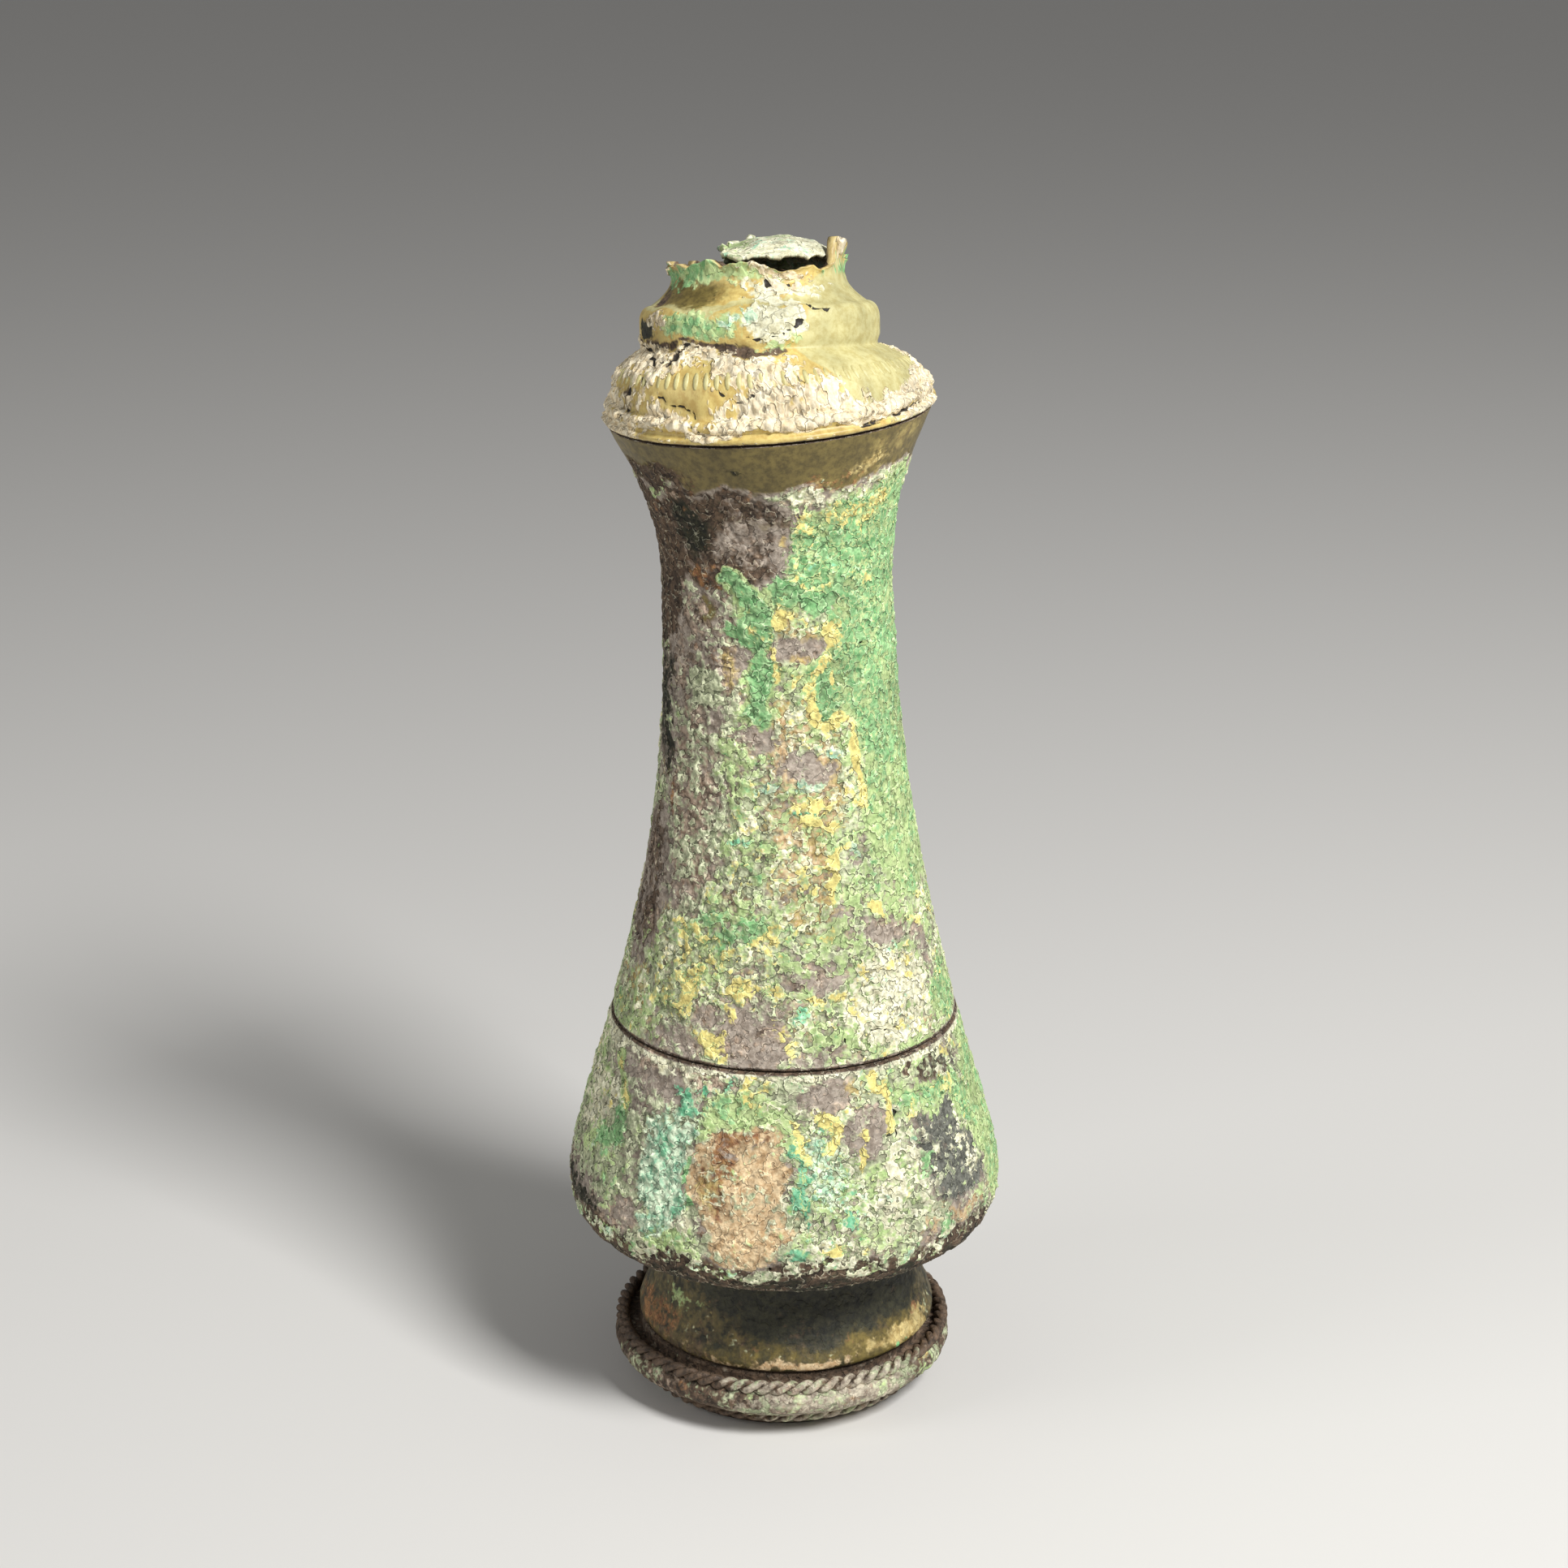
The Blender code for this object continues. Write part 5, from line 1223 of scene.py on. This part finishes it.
def laid_rope(name, ring_radius, height, thick, turns, coats, material, patches, mix, wear):
    """Geometry nodes that lay two threads round each other along a ring; sizes in millimetres."""
    tree, given, values = new_tree(name, {
        "Ring radius": ring_radius * MM, "Height": height * MM, "Thread radius": THREAD_SHARE * thick * MM,
        "Lay radius": LAY_SHARE * thick * MM, "Turns": float(turns), "Wear": wear * MM,
    })
    joined = add_node(tree, "GeometryNodeJoinGeometry")
    ring = add_node(
        tree, "GeometryNodeCurvePrimitiveCircle",
        {"Resolution": turns * ROPE_POINTS, "Radius": given["Ring radius"]},
    )
    factor = add_node(tree, "GeometryNodeSplineParameter").outputs["Factor"]
    position = add_node(tree, "GeometryNodeInputPosition")
    outward = add_node(tree, "ShaderNodeVectorMath", {0: position}, operation="NORMALIZE")
    section = add_node(
        tree, "GeometryNodeCurvePrimitiveCircle",
        {"Resolution": THREAD_POINTS, "Radius": given["Thread radius"]},
    )
    for thread in (0, 1):
        turned = add_node(tree, "ShaderNodeMath", {0: factor, 1: given["Turns"]}, operation="MULTIPLY")
        lay = add_node(
            tree, "ShaderNodeMath", {0: turned, 1: math.tau, 2: thread * math.pi}, operation="MULTIPLY_ADD",
        )
        across = add_node(tree, "ShaderNodeMath", {0: lay}, operation="COSINE")
        rise = add_node(tree, "ShaderNodeMath", {0: lay}, operation="SINE")
        up = add_node(tree, "ShaderNodeCombineXYZ", {2: rise})
        sideways = add_node(tree, "ShaderNodeVectorMath", {0: outward, "Scale": across}, operation="SCALE")
        swung = add_node(tree, "ShaderNodeVectorMath", {0: sideways, 1: up}, operation="ADD")
        offset = add_node(
            tree, "ShaderNodeVectorMath", {0: swung, "Scale": given["Lay radius"]}, operation="SCALE",
        )
        level = add_node(tree, "ShaderNodeCombineXYZ", {2: given["Height"]})
        raised = add_node(tree, "ShaderNodeVectorMath", {0: offset, 1: level}, operation="ADD")
        strand = add_node(tree, "GeometryNodeSetPosition", {"Geometry": ring, "Offset": raised})
        tube = add_node(tree, "GeometryNodeCurveToMesh", {"Curve": strand, "Profile Curve": section})
        tree.links.new(tube.outputs[0], joined.inputs[0])
    # Worn and pitted threads
    worn = add_node(
        tree, "ShaderNodeTexNoise", {"Vector": position, "Scale": 1.0 / (WEAR_SIZE * MM), "Detail": 2.0},
    )
    low = add_node(tree, "ShaderNodeMath", {0: worn.outputs["Fac"], 1: 0.5}, operation="SUBTRACT")
    depth = add_node(tree, "ShaderNodeMath", {0: low, 1: given["Wear"]}, operation="MULTIPLY")
    obj = new_object(name, bpy.data.meshes.new(name))
    end_tree(tree, push_out(tree, joined, depth), material, obj, values)
    flatten(obj)
    keep_rest_place(obj)
    # The groove between the threads is made darker
    points = read_points(obj)
    from_core = np.hypot(np.hypot(points[:, 0], points[:, 1]) - ring_radius, points[:, 2] - height)
    write_values(obj, "groove", smoothstep(from_core, 0.85 * thick, 0.65 * thick))
    paint(obj, coats, patches, mix)
    return obj


def shape_stump(points):
    """Tears the stump's edge: waves, a knob on the left, an upright tongue on the right and fine teeth."""
    bearing = bearings_of(points)
    above = np.clip((points[:, 2] - STUMP_WAIST_Z) / STUMP_HEIGHT, 0.0, 1.2)
    around = np.radians(bearing - 90.0)
    edge = 0.6 * (np.sin(3 * around + 1.7) + 0.4 * np.sin(11 * around))
    edge += 2.7 * bell(bearing, 68.0, 8.0) + 1.3 * bell(bearing, -90.0, 6.0)
    coarse, fine = (
        np.array([noise.noise(Vector((pace * math.cos(a), pace * math.sin(a), shift))) for a in around])
        for pace, shift in ((3.0, 4.2), (11.0, 8.2))
    )
    teeth = coarse + 0.6 * fine
    folds = 0.45 * bell(bearing, 62.0, 24.0) * np.sin(np.radians(bearing) * 26.0)
    shaped = points.copy()
    shaped[:, 2] += above * edge + 0.7 * above ** 3 * teeth
    radius = np.hypot(points[:, 0], points[:, 1])
    spread = 1.0 + above ** 2 * (folds + 0.5 * teeth) / np.maximum(radius, 1.0)
    shaped[:, :2] *= spread[:, None]
    return shaped


class LIME_OT_bowl(bpy.types.Operator):
    """Bulging bowl with its upright collar"""
    bl_idname = "lime.bowl"
    bl_label = "Bowl"

    def execute(self, context):
        step, seed = context.scene.lime_form.mesh_step / MM, context.scene.lime_form.seed
        coats = coats_of(
            "umber moss charcoal orange ochre rose tan sage leaf cream green mint teal yellow vein pit"
        )
        # Copper carbonates, lime and soil grown over grey cuprite: a dull, granular crust in pale greens
        material = crust_material("bowl_mineral_crust", coats, bare="mauve", grain=0.1)
        obj = build_shell(
            "bowl_casting", bowl_line(step), around_count(BOWL_R, 1.25 * step), coats, material,
            patches=back_patches(seed, 30, BOWL_HEIGHT) + BOWL_PATCHES, mix=MIXES["sage_field"],
            place=lambda points: points + (0.0, 0.0, BOWL_Z), lumps=0.15, grain=0.1, closed=False,
        )
        finish_piece(obj, "base", "bowl")
        return {"FINISHED"}


class LIME_OT_cover(bpy.types.Operator):
    """Tall waisted cover"""
    bl_idname = "lime.cover"
    bl_label = "Cover"

    def execute(self, context):
        step, seed = context.scene.lime_form.mesh_step / MM, context.scene.lime_form.seed
        coats = coats_of(
            "olive umber moss charcoal orange ochre gold rose tan sage leaf cream green mint teal yellow vein "
            "pit"
        )
        # The bowl's crust, thinner and more mottled, and a band of smooth olive patina below the crown
        material = crust_material("cover_mineral_crust", coats, bare="mauve", grain=0.1)
        obj = build_shell(
            "cover_casting", cover_line(step), around_count(COVER_TOP_R, step), coats, material,
            patches=back_patches(seed + 1, 64, COVER_HEIGHT) + COVER_PATCHES, mix=MIXES["speckled"],
            place=lambda points: bend_cover(points) + (0.0, 0.0, COVER_Z), lumps=0.15, grain=0.1,
        )
        finish_piece(obj, "lid", "cover")
        return {"FINISHED"}


class LIME_OT_foot(bpy.types.Operator):
    """Hollow spreading foot"""
    bl_idname = "lime.foot"
    bl_label = "Foot"

    def execute(self, context):
        step = context.scene.lime_form.mesh_step / MM
        coats = coats_of("umber olive orange ochre tan sage leaf green", relief=0.55)
        # Smooth dark green patina with a soft shine, darkened nearly to black partly as painted shade of the
        # bowl's shadow, and ochre soil along its lip
        material = crust_material("foot_dark_patina", coats, bare="moss", grain=0.06)
        obj = build_shell(
            "foot_casting", foot_line(step), around_count(FOOT_LIP_R, 1.2 * step), coats, material,
            patches=FOOT_PATCHES,
            mix={"umber": -0.3, "orange": -0.7, "olive": 0.0, "sage": -0.9, "leaf": -1.1, "ochre": -0.8},
            place=lambda points: points + (FOOT_SHIFT, 0.0, FOOT_Z), lumps=0.08, grain=0.06,
        )
        finish_piece(obj, "base", "foot")
        return {"FINISHED"}


class LIME_OT_base_ring(bpy.types.Operator):
    """Base ring with two rope mouldings"""
    bl_idname = "lime.base_ring"
    bl_label = "Base ring"

    def execute(self, context):
        form = context.scene.lime_form
        step = form.mesh_step / MM
        coats = coats_of("umber orange ochre rose sage leaf", relief=0.6)
        # Bronze rubbed down to grey-brown, dull, with pale soil left in its hollows
        material = crust_material("ring_worn_bronze", coats, bare="stone", grain=0.07)
        obj = build_shell(
            "ring_casting", ring_line(step), around_count(TORUS_R, 1.1 * step), coats, material,
            patches=RING_PATCHES, mix={"umber": -0.4, "orange": -1.0, "rose": -0.4, "sage": -0.35, "leaf": -0.9},
            place=lambda points: points - (RING_SHIFT, 0.0, 0.0), lumps=0.15, grain=0.07,
        )
        finish_piece(obj, "base", "base_ring")
        rope_coats = coats_of("rose sage umber", relief=0.4)
        # The same bronze, polished by hands on the threads and darker between them
        rope_material = crust_material("rope_worn_bronze", rope_coats, bare="stone", grain=0.05)
        for name, ring_r, height, thick in (
            ("upper_rope", UPPER_ROPE_R, UPPER_ROPE_Z, UPPER_ROPE_THICK),
            ("lower_rope", LOWER_ROPE_R, LOWER_ROPE_Z, LOWER_ROPE_THICK),
        ):
            turns = round(math.tau * ring_r * MM / form.thread_pitch)
            rope = laid_rope(
                name, ring_r, height, thick, turns, rope_coats, rope_material,
                patches=ROPE_PATCHES, mix={"umber": -0.5, "rose": -0.3, "sage": -0.3}, wear=0.25,
            )
            write_points(rope, read_points(rope) - (RING_SHIFT, 0.0, 0.0))
            finish_piece(rope, "base", "base_ring")
        return {"FINISHED"}


class LIME_OT_crown(bpy.types.Operator):
    """Tiered crown with its torn stump"""
    bl_idname = "lime.crown"
    bl_label = "Crown"

    def execute(self, context):
        step = context.scene.lime_form.mesh_step / MM
        coats = coats_of("gold straw olive moss umber leaf cream crust green mint pit", relief=0.44)
        # Smooth yellow-ochre patina with a soft shine where the pale granular crust has come off
        material = crust_material("crown_ochre_patina", coats, bare="ochre", grain=0.01)
        obj = build_shell(
            "crown_casting", crown_line(step), around_count(CROWN_LIP_R, step), coats, material,
            patches=CROWN_PATCHES, mix={"gold": -0.2},
            place=lambda points: seat_crown(sink(shape_stump(points))), lumps=0.1, grain=0.01,
        )
        finish_piece(obj, "lid", "crown")
        # Ribs of the worn petal border, about 1.4 mm apart, that show where the crust has come off
        petals = petal_row(
            "crown_petals", PETAL_ROW_R, PETAL_ROW_Z, -PETAL_SLOPE, PETAL_COUNT, size=(0.24, 0.42, 0.95),
            # The crown's smooth patina, paler where it is rubbed
            material=crust_material("petal_gold_patina", [], bare="straw", grain=0.01),
        )
        write_points(petals, seat_crown(sink(read_points(petals))))
        finish_piece(petals, "lid", "crown")
        rope_coats = coats_of("umber cream crust", relief=0.5)
        # Cream lime crust that nearly hides the bead's threads
        rope_material = crust_material("crown_rope_crust", rope_coats, bare="gold", grain=0.05)
        rope = laid_rope(
            "crown_rope", BEAD_R, BEAD_Z, BEAD_THICK, round(math.tau * BEAD_R / CROWN_THREAD_PITCH), rope_coats,
            rope_material, patches=(), mix={"cream": -0.3, "crust": 0.3}, wear=0.3,
        )
        write_points(rope, seat_crown(read_points(rope)))
        finish_piece(rope, "lid", "crown")
        return {"FINISHED"}


class LIME_OT_finial(bpy.types.Operator):
    """Torn sheet left of the finial"""
    bl_idname = "lime.finial"
    bl_label = "Finial remnant"

    def execute(self, context):
        steps = 80
        bpy.ops.mesh.primitive_grid_add(x_subdivisions=steps, y_subdivisions=steps, size=2.0)
        sheet = context.object
        sheet.name = "finial_sheet"
        grid = read_points(sheet) * MM  # -1 to 1 each way
        u, v = grid[:, 0], grid[:, 1]
        # The sheet spans the stump: domed, its front lifted and its back tucked in, its left end curled up
        edge_r = STUMP_R - CROWN_WALL - (STUMP_R - WAIST_R) * 0.4 / STUMP_HEIGHT - SEAT_GAP
        left, right, lift, tuck, rise = -4.2, 0.93 * edge_r, 1.2, 0.4, 3.3
        x = left + (right - left) * 0.5 * (u + 1.0)
        y = v * np.sqrt(edge_r ** 2 - x ** 2)
        from_crest = u - 0.15
        dome = rise * (1.0 - 0.4 * from_crest ** 2 - 0.4 * np.clip(from_crest, 0.0, None) ** 2) * (1.0 - v ** 2)
        ragged = np.array([noise.noise(Vector((3.0 * a, 1.5 * b, 0.3))) for a, b in zip(u, v)])
        fine = np.array([noise.noise(Vector((9.0 * a, 9.0 * b, 5.3))) for a, b in zip(u, v)])
        front = np.clip(-v, 0.0, 1.0) ** 3
        z = STUMP_TOP_Z + 0.5 * (lift * (1.0 - v) - tuck * (1.0 + v)) + dome + 0.3 * ragged + 0.12 * fine
        y += front * (0.9 * ragged + 0.5 * fine)
        curl = np.clip((-0.6 - u) / 0.4, 0.0, 1.0)
        z += 0.5 * curl ** 2 + 0.4 * curl * fine
        x += (1.0 - u) * (1.0 - v ** 2) * (0.4 * np.sin(7.0 * v) + 0.5 * fine)
        write_points(sheet, np.stack((x, y, z), axis=1))
        keep_rest_place(sheet)
        coats = coats_of("leaf cream green mint", relief=0.5)
        paint(
            sheet, coats, patches=marks(("cream", (0.7, 60, 19, 8, 2))),
            mix={"leaf": 0.0, "green": -0.9, "mint": -0.3, "cream": 0.1},
        )
        # Thin dull crust in pale green and cream on a sheet of torn bronze
        material = crust_material("sheet_green_crust", coats, bare="sage", grain=0.06)
        write_points(sheet, seat_crown(sink(read_points(sheet))))
        solid = sheet.modifiers.new("Thickness", "SOLIDIFY")
        solid.thickness = 0.5 * MM
        solid.offset = -1.0
        sheet.data.materials.append(material)
        finish_piece(sheet, "lid", "finial_remnant")
        return {"FINISHED"}


class LIME_OT_stage(bpy.types.Operator):
    """Floor, soft lights and camera"""
    bl_idname = "lime.stage"
    bl_label = "Stage"

    def execute(self, context):
        stage = context.scene.lime_stage
        bpy.ops.mesh.primitive_plane_add(size=6.0, location=(0.0, 0.0, 0.0))
        floor = context.object
        floor.name = "floor"
        # Pale matt card without a shine
        paper = bpy.data.materials.new("matt_paper")
        paper.use_nodes = True
        shader = paper.node_tree.nodes["Principled BSDF"]
        shader.inputs["Base Color"].default_value = (*stage.floor, 1.0)
        shader.inputs["Roughness"].default_value = 0.9
        floor.data.materials.append(paper)
        for name, place, width, share in (
            ("key_softbox", (0.36, -0.4, 0.62), 0.22, 1.0),
            ("fill_softbox", (-0.62, -0.25, 0.4), 0.3, 0.14),
        ):
            lamp = bpy.data.lights.new(name, "AREA")
            lamp.shape = "SQUARE"
            lamp.size = width
            lamp.energy = stage.key_power * share
            obj = new_object(name, lamp)
            obj.location = place
            obj.rotation_euler = (Vector(place) - Vector(LIT_POINT)).to_track_quat("Z", "Y").to_euler()
        world = bpy.data.worlds.new("soft_room")
        world.use_nodes = True
        world.node_tree.nodes["Background"].inputs["Color"].default_value = (1.0, 1.0, 1.0, 1.0)
        world.node_tree.nodes["Background"].inputs["Strength"].default_value = 0.2
        context.scene.world = world
        lens = bpy.data.cameras.new("camera")
        lens.lens = stage.focal_length
        lens.sensor_width = SENSOR_WIDTH
        lens.clip_start = 0.01
        camera = new_object("camera", lens)
        camera.location = CAMERA_PLACE
        camera.rotation_euler = (math.radians(CAMERA_TIP), 0.0, 0.0)
        context.scene.camera = camera
        context.scene.view_settings.view_transform = "Standard"
        return {"FINISHED"}


class LIME_PT_panel(bpy.types.Panel):
    """Builds the container piece by piece"""
    bl_label = "Lime container"
    bl_idname = "LIME_PT_panel"
    bl_space_type = "VIEW_3D"
    bl_region_type = "UI"
    bl_category = "Lime container"

    def draw(self, context):
        scene = context.scene
        for settings in (scene.lime_form, scene.lime_patina, scene.lime_stage):
            for name in settings.__annotations__:
                self.layout.prop(settings, name)
        for operator in PIECES:
            self.layout.operator(operator.bl_idname)


SETTINGS = {"lime_form": LimeForm, "lime_patina": LimePatina, "lime_stage": LimeStage}
PIECES = (
    LIME_OT_base_ring, LIME_OT_foot, LIME_OT_bowl, LIME_OT_cover, LIME_OT_crown, LIME_OT_finial, LIME_OT_stage,
)


def register():
    for group in SETTINGS.values():
        bpy.utils.register_class(group)
    for name, group in SETTINGS.items():
        setattr(bpy.types.Scene, name, PointerProperty(type=group))
    for operator in PIECES:
        bpy.utils.register_class(operator)
    bpy.utils.register_class(LIME_PT_panel)


def unregister():
    bpy.utils.unregister_class(LIME_PT_panel)
    for operator in reversed(PIECES):
        bpy.utils.unregister_class(operator)
    for name, group in SETTINGS.items():
        delattr(bpy.types.Scene, name)
        bpy.utils.unregister_class(group)


def main():
    register()
    for operator in PIECES:
        group, name = operator.bl_idname.split(".")
        getattr(getattr(bpy.ops, group), name)()


if __name__ == "__main__":
    main()
